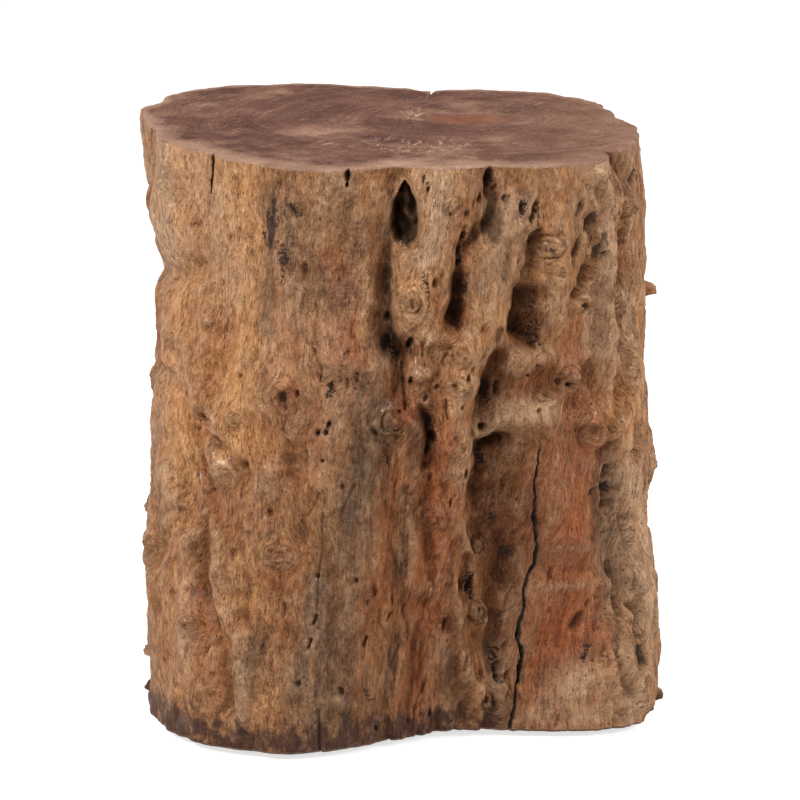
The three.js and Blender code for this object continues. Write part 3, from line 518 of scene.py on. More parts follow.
# %% Grain places
across_grain = azimuths * math.pi / 180 * girth_share
up_grain = heights * height_per_half_width
push = np.zeros_like(azimuths)
lift = np.zeros_like(azimuths)
strands = hill(azimuths, 70, 15, 4)  # the corded right-hand edge
straightened = 1 - 0.8 * hill(azimuths, 74, 20, 4)  # its fibres hardly bend round a knot
stone_share, heart_share, far_radii = 0.9, 0.35, 4
for at, radius in [(k[0], k[1]) for k in knot_shares] + swirl_shares:
    x, y = grid_offset(at)
    core = (radius * stone_share) ** 2
    fall = core / np.maximum(x * x + y * y, core * heart_share) * hill(np.hypot(x, y), 0, radius * far_radii)
    push -= x * fall * straightened
    lift += y * fall * straightened
slant = 0.2 * hill(azimuths, 12, 26)  # the lobes lean to the right by a fifth of their height
lean = slant * (1 - 0.75 * soft_spot(38, 12, 0.25, 0.25, 2))
push -= lean * (up_grain - 0.5 * height_per_half_width)
fold = soft_band([[-76, 0.6], [-63, 0.54], [-50, 0.44]], 0.14)  # fibres follow the fold of the left face
push += fold * 0.5 * (up_grain - 0.52 * height_per_half_width)
push += strands * 0.022 * ripples(26, 11, 34)
push += 0.012 * ripples(16, 5, 11) + 0.004 * ripples(44, 14, 12)
grain_around = (across_grain + push) / (2 * math.pi * girth_share)
grain_up = heights + lift / height_per_half_width
print("grain is pushed up to", round(float(np.abs(push).max() * half_width * 1000)), "mm aside")

# %% [markdown]
# Between the named forms the wall is gnarled where it grew under stress, on the right and round the back,
# and calm on the broad left face. Folded noise gives rounded lumps with creases between them, and
# stretched along the grain it gives cords and fibres.

# %% Gnarl, cords and fibres
calm = 0.62 * hill(azimuths, -56, 46, 4) + 0.3 * hill(azimuths, -21, 17, 4)
smooth_panel = soft_spot(42, 11, 0.25, 0.24, 4)
calm = np.maximum(calm, 0.75 * smooth_panel)
calm = np.maximum(calm, 0.45 * hill(azimuths, 84, 16, 4))
gnarl = 1 - unit(calm)


def cord_noise(width, length, seed):
    """Noise stretched along the grain, from a width and length in metres."""
    girth = 2 * math.pi * girth_share * half_width
    return wall_noise(grain_around, grain_up, round(girth / width), round(trunk_height / length), seed)


rim_fade = unit((1.0 - heights) / 0.05) ** 0.7
slanted = around + slant * (heights - 0.5) * height_per_half_width / (2 * math.pi * girth_share)
lumps = np.abs(wall_noise(slanted, up, 37, 11, 21))
small_lumps = np.abs(cord_noise(0.015, 0.022, 22))
crumbs = np.abs(cord_noise(0.0066, 0.0095, 29))
lump_rise, small_lump_rise, crumb_rise = 0.03, 0.018, 0.009
fold_mean = 0.25  # what folded noise is on average, so that lumps don't thicken the trunk
knobbly = lump_rise * (lumps - fold_mean) + small_lump_rise * (small_lumps - fold_mean)
radius_shares += gnarl * (1 - 0.75 * strands) * rim_fade * knobbly
crumbly = 0.7 + cord_noise(0.03, 0.05, 30)
radius_shares += gnarl * (1 - 0.8 * strands) * rim_fade * crumb_rise * (crumbs - fold_mean) * crumbly
radius_shares += gnarl * 0.007 * cord_noise(0.011, 0.07, 23)
broken = 0.6 + 0.8 * cord_noise(0.025, 0.03, 26)
radius_shares += (0.25 + 0.75 * gnarl) * 0.004 * broken * cord_noise(0.0062, 0.013, 24)
gaps = unit(cord_noise(0.0042, 0.010, 27) - fold_mean)
radius_shares -= (0.3 + 0.7 * gnarl) * 0.005 * broken * gaps
radius_shares += (1 - gnarl) * 0.008 * cord_noise(0.016, 0.024, 36)
radius_shares += strands * rim_fade * 0.03 * (np.abs(cord_noise(0.013, 0.11, 35)) - fold_mean)
radius_shares += strands * rim_fade * 0.02 * (np.abs(cord_noise(0.0066, 0.06, 37)) - fold_mean)
radius_shares += strands * rim_fade * 0.007 * cord_noise(0.0042, 0.05, 40)
radius_shares += (0.5 + 0.5 * gnarl) * 0.0024 * cord_noise(0.0034, 0.0085, 25)
radius_shares += 0.003 * np.abs(ripples(170, 70, 28))
print("gnarl adds up to", round(float((lump_rise * lumps * gnarl).max() * half_width * 1000), 1), "mm")

# %% [markdown]
# Knots swell out of the wall and carry growth rings round a sunken heart. Their outline is pulled about by
# a little noise, because nothing on a tree is turned on a lathe.

# %% Raise the knots
knot_section = ([0, 0.14, 0.34, 0.46, 0.58, 0.8, 1, 1.2], [-0.5, -0.2, 0.5, 0.22, 0.55, 0.3, 0, 0])
upright = 0.92  # a knot is a little taller than wide
swelling_rise, swelling_radii = 0.8, 1.5
ring_number, ring_rise, ring_radii = 2.6, 0.0022, 1.1
heart_depth, heart_radii = 1.1, 0.2
knot_rings = np.zeros_like(azimuths)
knot_hearts = np.zeros_like(azimuths)
wobble = 1 + 0.16 * ripples(70, 30, 31) + 0.08 * ripples(190, 80, 32)
for at, radius, rise, sunk in knot_shares:
    x, y = grid_offset(at)
    reach = np.hypot(x, y * upright) * wobble / radius
    near = reach < 4
    reach = reach[near]
    radius_shares[near] += rise * swelling_rise * hill(reach, 0, swelling_radii)
    boss = np.interp(reach, *knot_section)
    rings = np.cos(reach * 2 * math.pi * ring_number) * hill(reach, 0, ring_radii)
    boss -= sunk * heart_depth * hill(reach, 0, heart_radii)
    radius_shares[near] += rise * min(sunk + 0.4, 1) * boss + ring_rise * rings
    knot_rings[near] += rings
    knot_hearts[near] = np.maximum(knot_hearts[near], sunk * hill(reach, 0, 0.3))
# A few stand proud as round knobs with a crease about them and a slit across the top: pixel, radius, rise.
knob_shares = [[spot(pixel)[0], radius, rise] for pixel, radius, rise in (
    ((549, 246), 0.034, 0.034), ((562, 270), 0.024, 0.02), ((632, 207), 0.034, 0.032),
    ((457, 207), 0.024, 0.012), ((592, 432), 0.036, 0.014), ((479, 547), 0.024, 0.022),
    ((477, 612), 0.03, 0.018), ((412, 304), 0.028, 0.012), ((392, 424), 0.034, 0.02),
    ((577, 376), 0.026, 0.018), ((522, 374), 0.018, 0.014), ((546, 362), 0.03, 0.014),
    ((459, 358), 0.03, 0.016), ((489, 702), 0.026, 0.016), ((280, 556), 0.03, 0.008),
    ((232, 424), 0.026, 0.006),
)]
knob_upright, dome_radii = 0.94, 1.05
moat_depth, moat_radii, moat_wide = 0.45, 1.15, 0.14
slit_depth, slit_wide, slit_lean, slit_radii = 0.006, 0.004, 0.3, 0.6
for at, radius, rise in knob_shares:
    x, y = grid_offset(at)
    reach = np.hypot(x, y * knob_upright) * wobble / radius
    radius_shares += rise * np.sqrt(unit(1 - (reach / dome_radii) ** 2))
    radius_shares -= rise * moat_depth * hill(reach, moat_radii, moat_wide)
    radius_shares -= slit_depth * hill(np.abs(x + slit_lean * y), 0, slit_wide) * (reach < slit_radii)
print(len(knot_shares), "knots raised,", len(knob_shares), "knobs")

# %% [markdown]
# Small forms come last, so that the larger ones carry them: creases that sharpen a fold, and pits left by
# shoots and insects. The clear ones in front are placed by looking, the rest are strewn by chance.

# %% Creases and pits
crease_shares = [
    # half width, depth, places; the left half first
    [0.012, 0.012, (158, 378), (165, 396), (172, 418), (186, 444), (200, 470), (210, 490)],
    [0.012, 0.008, (202, 532), (200, 560), (205, 596), (220, 640), (226, 706)],
    [0.014, 0.008, (172, 190), (185, 197), (193, 211), (198, 228), (197, 242)],
    [0.006, 0.014, (191, 399), (198, 390), (207, 377)], [0.005, 0.01, (195, 360), (205, 353)],
    [0.006, 0.012, (195, 430), (204, 421)], [0.006, 0.01, (200, 656), (208, 645), (215, 640)],
    [0.005, 0.008, (217, 163), (217, 184)], [0.005, 0.012, (312, 350), (316, 362), (320, 370), (318, 382)],
    [0.005, 0.009, (318, 494), (312, 508), (307, 516)],
    [0.005, 0.009, (322, 515), (320, 528), (321, 545), (320, 560), (316, 576), (316, 590), (315, 606)],
    [0.005, 0.008, (354, 486), (347, 498), (340, 512)], [0.006, 0.008, (277, 570), (279, 592), (276, 612)],
    [0.006, 0.012, (316, 712), (317, 730), (318, 752)], [0.006, 0.022, (314, 617), (311, 625)],
    [0.006, 0.022, (309, 641), (306, 649)], [0.006, 0.02, (365, 638), (362, 646)],
    [0.006, 0.02, (389, 615), (386, 622)], [0.006, 0.012, (284, 418), (281, 432)],
    [0.016, 0.014, (263, 376), (268, 400), (276, 416)],
    # the middle
    [0.012, 0.018, (374, 432), (384, 438), (395, 437)], [0.008, 0.02, (402, 364), (404, 390), (406, 410)],
    [0.006, 0.014, (424, 344), (424, 358)], [0.014, 0.03, (421, 408), (426, 422), (431, 436)],
    [0.008, 0.016, (446, 390), (456, 387), (463, 394)], [0.007, 0.022, (448, 402), (450, 420)],
    [0.009, 0.02, (467, 228), (463, 238), (459, 250), (458, 264)], [0.007, 0.018, (486, 222), (488, 244)],
    [0.016, 0.03, (476, 440), (479, 456), (480, 470)], [0.016, 0.035, (482, 444), (492, 438), (506, 436)],
    [0.007, 0.01, (390, 294), (402, 287)], [0.006, 0.014, (544, 414), (546, 424), (546, 438)],
    # beside the long check
    [0.005, 0.014, (526, 580), (518, 588), (511, 597), (512, 608)], [0.005, 0.014, (533, 536), (531, 547)],
    [0.005, 0.014, (521, 684), (522, 698), (518, 711)], [0.006, 0.016, (514, 674), (513, 690), (510, 700)],
    [0.005, 0.01, (552, 528), (554, 540), (554, 550)],
    # the right half
    [0.009, 0.05, (588, 268), (583, 282), (577, 298)], [0.012, -0.04, (594, 266), (590, 280), (584, 296)],
    [0.01, 0.02, (596, 376), (594, 386), (598, 396)], [0.008, 0.02, (607, 474), (611, 482), (608, 494)],
    [0.007, 0.016, (593, 230), (595, 242), (600, 252)], [0.009, 0.022, (629, 608), (636, 616), (643, 626)],
    [0.009, 0.022, (627, 682), (632, 694), (637, 704)], [0.007, 0.016, (625, 400), (629, 412), (632, 420)],
    [0.007, 0.016, (638, 420), (628, 436), (618, 446), (611, 458)],
    [0.007, 0.016, (640, 444), (628, 462), (620, 476)], [0.012, 0.05, (614, 176), (618, 192), (616, 212)],
    [0.008, 0.02, (619, 214), (622, 240), (616, 264)],
    [0.008, 0.018, (634, 380), (640, 430), (632, 480), (638, 530)],
    [0.008, 0.018, (628, 310), (632, 336), (630, 370)], [0.006, 0.014, (563, 716), (560, 728)],
    [0.005, 0.012, (572, 712), (573, 730)], [0.012, 0.02, [67, 0.6], [70, 0.5], [66, 0.4], [69, 0.3]],
    # cords and the gaps between them down the right-hand edge
    [0.016, -0.035, (618, 430), (610, 462), (613, 505), (622, 556), (631, 592), (627, 628), (633, 668),
     (640, 708)],
    [0.014, -0.03, (644, 446), (632, 476), (630, 512), (638, 552), (643, 590)],
    [0.012, -0.025, (604, 452), (597, 486), (604, 540), (608, 600), (612, 660), (622, 706)],
    [0.012, 0.035, (606, 466), (604, 484), (606, 506)],
    [0.01, 0.03, (620, 446), (620, 480), (623, 520), (631, 560)],
    [0.012, 0.04, (628, 604), (637, 618), (641, 640)], [0.014, 0.05, (640, 640), (646, 654), (648, 668)],
    [0.01, 0.03, (616, 600), (618, 640), (624, 684)],
    [0.012, -0.03, (604, 172), (610, 206), (607, 250), (611, 300), (606, 340)],
    [0.01, -0.025, (592, 176), (596, 210), (600, 240), (598, 280)],
    [0.012, -0.03, (636, 262), (632, 300), (636, 340), (628, 392), (614, 428)],
    [0.01, 0.03, (626, 232), (628, 262), (624, 300), (628, 340)],
    [0.008, 0.024, (638, 300), (640, 350), (636, 400)],
]
crease_lines = [(half, deep, places(points, spot)) for half, deep, *points in crease_shares]
for half, deep, line in crease_lines:
    radius_shares -= deep * soft_band(line, half)
pit_shares = [[spot(pixel)[0], half, deep, tall] for pixel, half, deep, tall in (
    # pixel, half width, depth, how much taller than wide
    ((538, 214), 0.009, 0.04, 4.6), ((594, 221), 0.01, 0.035, 4.0), ((606, 247), 0.01, 0.035, 5.0),
    ((580, 249), 0.012, 0.034, 3.2), ((585, 207), 0.009, 0.03, 2.4), ((611, 254), 0.006, 0.03, 1.8),
    ((487, 178), 0.016, 0.04, 2.6), ((497, 188), 0.005, 0.03, 3.4), ((481, 198), 0.008, 0.035, 2.6),
    ((509, 200), 0.009, 0.03, 1.6), ((524, 208), 0.008, 0.025, 3.0), ((495, 226), 0.022, 0.03, 3.0),
    ((464, 236), 0.008, 0.03, 2.0), ((459, 250), 0.01, 0.035, 1.8), ((458, 263), 0.008, 0.03, 1.4),
    ((428, 448), 0.012, 0.04, 2.4), ((431, 436), 0.014, 0.04, 1.6), ((486, 390), 0.012, 0.035, 3.2),
    ((484, 427), 0.012, 0.04, 1.1), ((499, 388), 0.008, 0.04, 3.2), ((470, 380), 0.006, 0.025, 3.0),
    ((464, 409), 0.006, 0.02, 1.6), ((411, 382), 0.008, 0.03, 1.8), ((410, 344), 0.012, 0.05, 2.2),
    ((387, 316), 0.012, 0.03, 1.2), ((385, 342), 0.016, 0.04, 1.8), ((438, 388), 0.009, 0.025, 1.0),
    ((607, 469), 0.012, 0.03, 1.6), ((596, 492), 0.01, 0.025, 2.0), ((609, 487), 0.01, 0.05, 2.0),
    ((605, 503), 0.008, 0.03, 1.6), ((607, 533), 0.009, 0.02, 1.2), ((582, 622), 0.014, 0.03, 2.6),
    ((599, 600), 0.006, 0.02, 2.2), ((551, 612), 0.006, 0.02, 2.6), ((591, 604), 0.006, 0.025, 2.6),
    ((646, 656), 0.026, 0.05, 1.6), ((622, 282), 0.026, 0.03, 3.4), ((638, 172), 0.016, 0.04, 2.6),
    ((514, 555), 0.02, 0.025, 1.6), ((470, 584), 0.014, 0.04, 2.4), ((500, 678), 0.012, 0.035, 1.4),
    ((503, 668), 0.014, 0.03, 2.0), ((489, 701), 0.009, 0.04, 1.6), ((468, 476), 0.008, 0.025, 2.4),
    ((482, 611), 0.007, 0.035, 1.2), ((452, 504), 0.006, 0.02, 3.0), ((431, 478), 0.008, 0.02, 2.0),
    ((468, 664), 0.01, 0.015, 3.0), ((430, 714), 0.009, 0.025, 2.0), ((563, 383), 0.008, 0.03, 1.6),
    ((542, 412), 0.008, 0.03, 1.0), ((613, 430), 0.005, 0.02, 2.8), ((617, 444), 0.006, 0.02, 2.0),
    ((203, 329), 0.009, 0.022, 1.1), ((237, 377), 0.008, 0.026, 1.5), ((200, 418), 0.014, 0.02, 1.2),
    ((213, 442), 0.022, 0.02, 1.1), ((243, 467), 0.012, 0.026, 1.3), ((209, 492), 0.007, 0.02, 1.5),
    ((167, 481), 0.006, 0.018, 2.0), ((178, 512), 0.02, 0.016, 1.0), ((180, 524), 0.008, 0.018, 1.2),
    ((267, 514), 0.01, 0.02, 1.5), ((245, 536), 0.008, 0.014, 2.4), ((254, 560), 0.016, 0.012, 1.0),
    ((168, 595), 0.02, 0.014, 1.1), ((290, 460), 0.026, 0.014, 0.9), ((240, 615), 0.02, 0.012, 1.0),
    ((232, 660), 0.01, 0.014, 1.0), ((240, 194), 0.004, 0.014, 1.6), ((295, 395), 0.006, 0.022, 2.4),
    ((347, 353), 0.008, 0.012, 1.8), ((316, 434), 0.008, 0.024, 1.5), ((328, 425), 0.007, 0.022, 2.0),
    ((325, 434), 0.006, 0.02, 1.4), ((321, 462), 0.006, 0.022, 1.1), ((340, 488), 0.007, 0.018, 1.5),
    ((316, 577), 0.008, 0.02, 1.2), ((355, 581), 0.007, 0.018, 1.4), ((372, 592), 0.012, 0.02, 2.2),
    ((393, 415), 0.007, 0.022, 1.4), ((400, 413), 0.006, 0.02, 1.0), ((296, 685), 0.008, 0.02, 1.4),
    ((339, 693), 0.01, 0.022, 1.8), ((375, 729), 0.006, 0.018, 1.6), ((345, 176), 0.01, 0.05, 2.4),
    ((345, 186), 0.006, 0.04, 1.4), ((388, 740), 0.007, 0.02, 1.8), ((330, 388), 0.009, 0.016, 1.6),
    ((355, 380), 0.01, 0.014, 1.4), ((425, 180), 0.008, 0.02, 2.0), ((429, 190), 0.007, 0.02, 1.4),
    ((452, 215), 0.006, 0.02, 1.0), ((468, 214), 0.008, 0.02, 1.4), ((520, 262), 0.006, 0.015, 1.0),
)]
chance = np.random.default_rng(5)
pit_tries = 260
left_face, left_face_skips = (-80, -8), 0.62  # the broad left face has fewer pits
least_pit, pit_growth = 0.0045, 0.009
for _ in range(pit_tries):
    turn = chance.uniform(-180, 180)
    if left_face[0] < turn < left_face[1] and chance.random() < left_face_skips:
        continue
    size = least_pit + pit_growth * chance.random() ** 2
    at = (turn, chance.uniform(0.02, 0.98))
    pit_shares.append([at, size, size * chance.uniform(0.9, 2.4), chance.uniform(1.3, 3.6)])
pits = np.zeros_like(azimuths)
pit_lean = 0.22  # on the right they lean as the grain does
for at, half, deep, tall in pit_shares:
    x, y = grid_offset(at)
    reach = ((x - pit_lean * y * (at[0] > 0)) / half) ** 2 + (y / (half * tall)) ** 2
    near = reach < 6
    hole = np.exp(-(reach[near] ** 1.5))
    radius_shares[near] -= deep * hole
    # The pits mask later paints the pits darker, the deepest most: painted shade in them.
    pits[near] = np.maximum(pits[near], np.exp(-(reach[near] / 1.4) ** 4) * min(0.35 + 22 * deep, 1.2))
print(len(pit_shares), "pits")

# %% [markdown]
# A branch that rotted out left a drop-shaped hole, and twigs that were broken off left stubs. The checks
# come after them: the columns that were bent along each one now dive inwards, the middle one deepest,
# which opens a clean split with two walls.

# %% Rot hole, stubs and checks
hole_pixel = (406, 214)
hole_wide, hole_tall, hole_lean = 0.072, 0.118, 0.002
hole_depth, hole_uneven, hole_rises = 0.085, 0.05, 0.03
drop_section = ([-1, -0.95, -0.85, -0.5, -0.15, 0.2, 0.55, 0.82, 1],
                [0, 0.42, 0.74, 0.98, 1, 0.88, 0.56, 0.26, 0])  # height, and half width there
x, y = grid_offset(seen(hole_pixel)[0])
y = y / hole_tall
x = x + 0.0035 * ripples(150, 60, 38)
x = np.abs(x + hole_lean * y) / (hole_wide * np.maximum(np.interp(y, *drop_section), 1e-4))
rot = unit((1 - x) * 3.6) * (np.abs(y) < 1)
radius_shares -= rot * (hole_depth + hole_uneven * ripples(110, 50, 39) + hole_rises * x)
# A low lip of healed wood runs round its lower half.
radius_shares += 0.01 * hill(x, 1.1, 0.2) * unit(-y * 1.6 + 0.4) * (np.abs(y) < 0.95)
stub_shares = [
    # place, radius, length
    [(85, 0.729), 0.026, 0.048], [(-85, 0.088), 0.022, 0.035], [(-82, 0.033), 0.022, 0.028],
    [(76, 0.032), 0.022, 0.028], [(47, 0.808), 0.011, 0.03], [(-104, 0.42), 0.02, 0.03],
    [(128, 0.62), 0.022, 0.04], [(-165, 0.55), 0.024, 0.04],
]
stubs = np.zeros_like(azimuths)
stub_radii, stub_flank = 1.15, 0.3
for at, radius, length in stub_shares:
    x, y = grid_offset(at)
    stub = unit((stub_radii - np.hypot(x, y) * wobble / radius) / stub_flank)
    radius_shares += length * stub * (1 - 0.25 * (y > 0.3 * radius))  # broken off shorter at the top
    stubs = np.maximum(stubs, stub)
split = np.zeros_like(azimuths)
# Below this depth a check's inside is painted fully dark: painted shade.
dark_depth = 0.004
for column, dive in check_dives:
    radius_shares[:, column] -= dive
    split[:, column] = unit(dive / dark_depth)
print("wall runs from", round(float(radius_shares.min()), 3), "to", round(float(radius_shares.max()), 3))

# %% [markdown]
# The grid of radii becomes points. The sawn edges are not knife sharp: a few extra rings round them over,
# more where the rim has been knocked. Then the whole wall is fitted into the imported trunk's box, so that
# the looks never outgrow the solid.

# %% Wall points and rounded rims
def ring_points(share_row, azimuth_row, inset, z):
    """One ring of the wall, moved in towards the middle."""
    px, py = plan_point(azimuth_row, share_row - inset / half_width)
    return np.stack([px + plan_shift.x, py + plan_shift.y, np.broadcast_to(z, px.shape)], axis=1)


wear = edge_wear * (1 + 0.5 * wall_noise(column_azimuths / 360, np.full(column_count, 0.4), 60, 3, 41))
rim_steps = (0.0, 0.3, 0.62, 1.0)


def rim_ring(row, step, face_height, inwards):
    """One ring of a rounded rim, from the wall at step 0 to the sawn face at step 1."""
    bend = step * math.pi / 2
    z = face_height + inwards * edge_wear * (1 - math.sin(bend))
    return ring_points(radius_shares[row], azimuths[row], wear * (1 - math.cos(bend)), z)


rings, ring_rows = [], []
for step in rim_steps[::-1]:
    rings.append(rim_ring(0, step, foot_height, 1))
    ring_rows.append(0)
for j in range(1, row_count - 1):
    rings.append(ring_points(radius_shares[j], azimuths[j], 0, foot_height + row_shares[j] * trunk_height))
    ring_rows.append(j)
for step in rim_steps:
    rings.append(rim_ring(-1, step, stool_height, -1))
    ring_rows.append(row_count - 1)
wall_points = np.stack(rings)
ring_rows = np.array(ring_rows)
trunk_low, trunk_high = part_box("trunk")
for axis in (0, 1):
    reach_low, reach_high = wall_points[..., axis].min(), wall_points[..., axis].max()
    fit = min(trunk_low[axis] / reach_low, trunk_high[axis] / reach_high)
    reaches = [round(float(reach) * 1000, 1) for reach in (reach_low, reach_high)]
    print("axis", axis, "reaches", reaches, "mm, fitted by", round(fit, 4))
    wall_points[..., axis] *= min(fit, 1)

# %% [markdown]
# The seat and the foot are flat, and their outline is anything but. A constrained Delaunay triangulation
# fills such an outline with even triangles and leaves the checks open at the rim. The foot also gets the
# four pilot holes that the glide nails sit in.

# %% Fill the sawn faces
def filled(outline, spacing, holes=()):
    """Points inside an outline, and triangles that number the outline, then the holes, then these points."""
    outline = np.asarray(outline)
    turn = np.arctan2(outline[:, 0], -outline[:, 1])
    order = np.argsort(turn)
    reach = np.hypot(outline[:, 0], outline[:, 1])
    gx = np.arange(outline[:, 0].min(), outline[:, 0].max(), spacing)
    gy = np.arange(outline[:, 1].min(), outline[:, 1].max(), spacing * 0.866)
    px, py = np.meshgrid(gx, gy)
    px[1::2] += spacing / 2
    px, py = px.ravel(), py.ravel()
    edge = np.interp(np.arctan2(px, -py), turn[order], reach[order], period=2 * math.pi)
    keep = np.hypot(px, py) < edge - spacing * 0.7
    for hole in holes:
        middle = np.mean(hole, axis=0)
        keep &= np.hypot(px - middle[0], py - middle[1]) > 2.5 * np.hypot(*(hole[0] - middle))
    inner = np.stack([px[keep], py[keep]], axis=1)
    loops = [outline, *holes]
    joined = np.concatenate([*loops, inner])
    edges, start = [], 0
    for loop in loops:
        edges += [(start + k, start + (k + 1) % len(loop)) for k in range(len(loop))]
        start += len(loop)
    points, _, triangles, *_ = delaunay_2d_cdt([Vector(p) for p in joined], edges, [], 1, 1e-7)
    if len(points) != len(joined):
        raise ValueError("the outline of a sawn face crosses itself")
    return inner, np.array(triangles)


seat_spacing, foot_spacing = 0.0032, 0.008
seat_inner, seat_triangles = filled(wall_points[-1, :, :2], seat_spacing)
pilot_radius, pilot_top, pilot_sides = 0.0016, 0.0248, 12
pilot_turn = -2 * math.pi * np.arange(pilot_sides) / pilot_sides
pilots = []
for number in range(1, 5):
    low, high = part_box(f"glide_{number}")
    middle = (low + high) / 2
    pilot_x = middle.x + pilot_radius * np.cos(pilot_turn)
    pilot_y = middle.y + pilot_radius * np.sin(pilot_turn)
    pilots.append(np.stack([pilot_x, pilot_y], axis=1))
foot_inner, foot_triangles = filled(wall_points[0, :, :2], foot_spacing, pilots)
print("seat", len(seat_triangles), "triangles, foot", len(foot_triangles))

# %% [markdown]
# All points and faces now go into one closed mesh: the wall's quads, the seat's and foot's triangles, and
# the pilot holes. The seat is planed by hand and not by a machine, so its inner points dip by tenths of a
# millimetre.

# %% One closed mesh
ring_count = len(wall_points)
wall_total = ring_count * column_count
plane_dip, plane_waves = 0.00025, (61, 47)
across_seat, along_seat = seat_inner[:, 0] * plane_waves[0], seat_inner[:, 1] * plane_waves[1]
seat_dip = plane_dip * (np.sin(across_seat) * np.sin(along_seat + 1) - 1)
seat_points = np.column_stack([seat_inner, stool_height + seat_dip])
foot_loops = np.concatenate(pilots)
foot_places = np.concatenate([foot_loops, foot_inner])
foot_points = np.column_stack([foot_places, np.full(len(foot_places), foot_height)])
tube_points = np.column_stack([foot_loops, np.full(len(foot_loops), pilot_top)])
cap_points = np.array([[*np.mean(p, axis=0), pilot_top] for p in pilots])
points = np.concatenate([wall_points.reshape(-1, 3), seat_points, foot_points, tube_points, cap_points])
seat_start = wall_total
foot_start = seat_start + len(seat_points)
tube_start = foot_start + len(foot_points)
cap_start = tube_start + len(tube_points)

column = np.arange(column_count)
after = (column + 1) % column_count
base = np.arange(ring_count - 1)[:, None] * column_count
over = base + column_count
quads = np.stack([base + column, base + after, over + after, over + column], axis=-1).reshape(-1, 4)
top_ring = (ring_count - 1) * column_count
on_outline = seat_triangles < column_count
seat_faces = np.where(on_outline, seat_triangles + top_ring, seat_triangles - column_count + seat_start)
on_outline = foot_triangles < column_count
foot_faces = np.where(on_outline, foot_triangles, foot_triangles - column_count + foot_start)


def facing(triangles, way):
    """The same triangles, all wound so that they face up (1) or down (-1)."""
    a, b, c = (points[triangles[:, k]] for k in range(3))
    turn = (b[:, 0] - a[:, 0]) * (c[:, 1] - a[:, 1]) - (b[:, 1] - a[:, 1]) * (c[:, 0] - a[:, 0])
    return np.where((turn * way > 0)[:, None], triangles, triangles[:, ::-1])


seat_faces, foot_faces = facing(seat_faces, 1), facing(foot_faces, -1)
tube_faces, cap_faces = [], []
for p in range(len(pilots)):
    for k in range(pilot_sides):
        a, b = p * pilot_sides + k, p * pilot_sides + (k + 1) % pilot_sides
        tube_faces.append([foot_start + a, tube_start + a, tube_start + b, foot_start + b])
        cap_faces.append([tube_start + a, cap_start + p, tube_start + b])
groups = [(quads, 0), (seat_faces, 1), (foot_faces, 2), (np.array(tube_faces), 2), (np.array(cap_faces), 2)]
corners = np.concatenate([g.ravel() for g, _ in groups])
sizes = np.concatenate([np.full(len(g), g.shape[1]) for g, _ in groups])
slots = np.concatenate([np.full(len(g), s) for g, s in groups])
rim_quads = (len(rim_steps) - 1) * column_count  # the rounded rims belong to the sawn faces
slots[len(quads) - rim_quads:len(quads)] = 1
slots[:rim_quads] = 2

trunk_mesh = bpy.data.meshes.new("trunk_wood")
trunk_mesh.vertices.add(len(points))
trunk_mesh.vertices.foreach_set("co", points.astype(np.float32).ravel())
trunk_mesh.loops.add(len(corners))
trunk_mesh.loops.foreach_set("vertex_index", corners.astype(np.int32))
trunk_mesh.polygons.add(len(sizes))
trunk_mesh.polygons.foreach_set("loop_start", (np.cumsum(sizes) - sizes).astype(np.int32))
trunk_mesh.polygons.foreach_set("material_index", slots.astype(np.int32))
trunk_mesh.update(calc_edges=True)
trunk_mesh.shade_smooth()
trunk_mesh.set_sharp_from_angle(angle=math.radians(72))
trunk_wood = bpy.data.objects.new("trunk_wood", trunk_mesh)
scene.collection.objects.link(trunk_wood)
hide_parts("trunk")
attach(trunk_wood, "root")
print("trunk mesh", len(points), "points,", len(sizes), "faces, valid", not trunk_mesh.validate())

# %% [markdown]
# The finish has to know what the sculptor knew. Each mask is one number per point: how sunken a place is,
# how proud, how weathered, how red. Comparing the wall with a blurred copy of itself tells hollows from
# ridges.

# %% Hollows and ridges
column_gap = 0.0013  # between columns round the trunk, in metres, on average


def blurred(field, metres):
    """Field averaged over about this distance, round the trunk and up it."""
    out = field.copy()
    wide = max(int(metres / column_gap / 2), 1)
    high = max(int(metres / (trunk_height / row_count) / 2), 1)
    for _ in range(3):
        sums = np.cumsum(np.concatenate([out[:, -wide - 1:], out, out[:, :wide]], axis=1), axis=1)
        out = (sums[:, 2 * wide + 1:] - sums[:, :-2 * wide - 1]) / (2 * wide + 1)
        padded = np.concatenate([np.repeat(out[:1], high + 1, 0), out, np.repeat(out[-1:], high, 0)], axis=0)
        sums = np.cumsum(padded, axis=0)
        out = (sums[2 * high + 1:] - sums[:-2 * high - 1]) / (2 * high + 1)
    return out


# For each distance, how many millimetres deep or proud a place has to be to count fully, and its weight.
hollow_scales = {0.004: (2.0, 0.35), 0.014: (5.5, 0.35), 0.045: (14, 0.4)}
ridge_scales = {0.004: (0.9, 0.5), 0.014: (2.6, 0.6), 0.045: (7, 0.4)}
# The hollow mask darkens the finish, as dirt and painted shade; the ridge mask lightens it, as wear and dust
# with painted highlight.
hollow, ridge = 0, 0
for reach in hollow_scales:
    relief_mm = (blurred(radius_shares, reach) - radius_shares) * half_width * 1000
    hollow = hollow + unit(relief_mm / hollow_scales[reach][0]) * hollow_scales[reach][1]
    ridge = ridge + unit(-relief_mm / ridge_scales[reach][0]) * ridge_scales[reach][1]
hollow, ridge = unit(hollow), np.clip(ridge, 0, 1.2)
# Pits, the rot hole and the checks count as the deepest hollows, so the finish paints them near black: painted
# shade, with dark rotten wood in the hole.
hollow = np.maximum(np.maximum(hollow, pits), np.maximum(rot * 1.12, split * 1.4))
print("hollow", round(float(hollow.mean()), 3), "and ridge", round(float(ridge.mean()), 3), "on average")

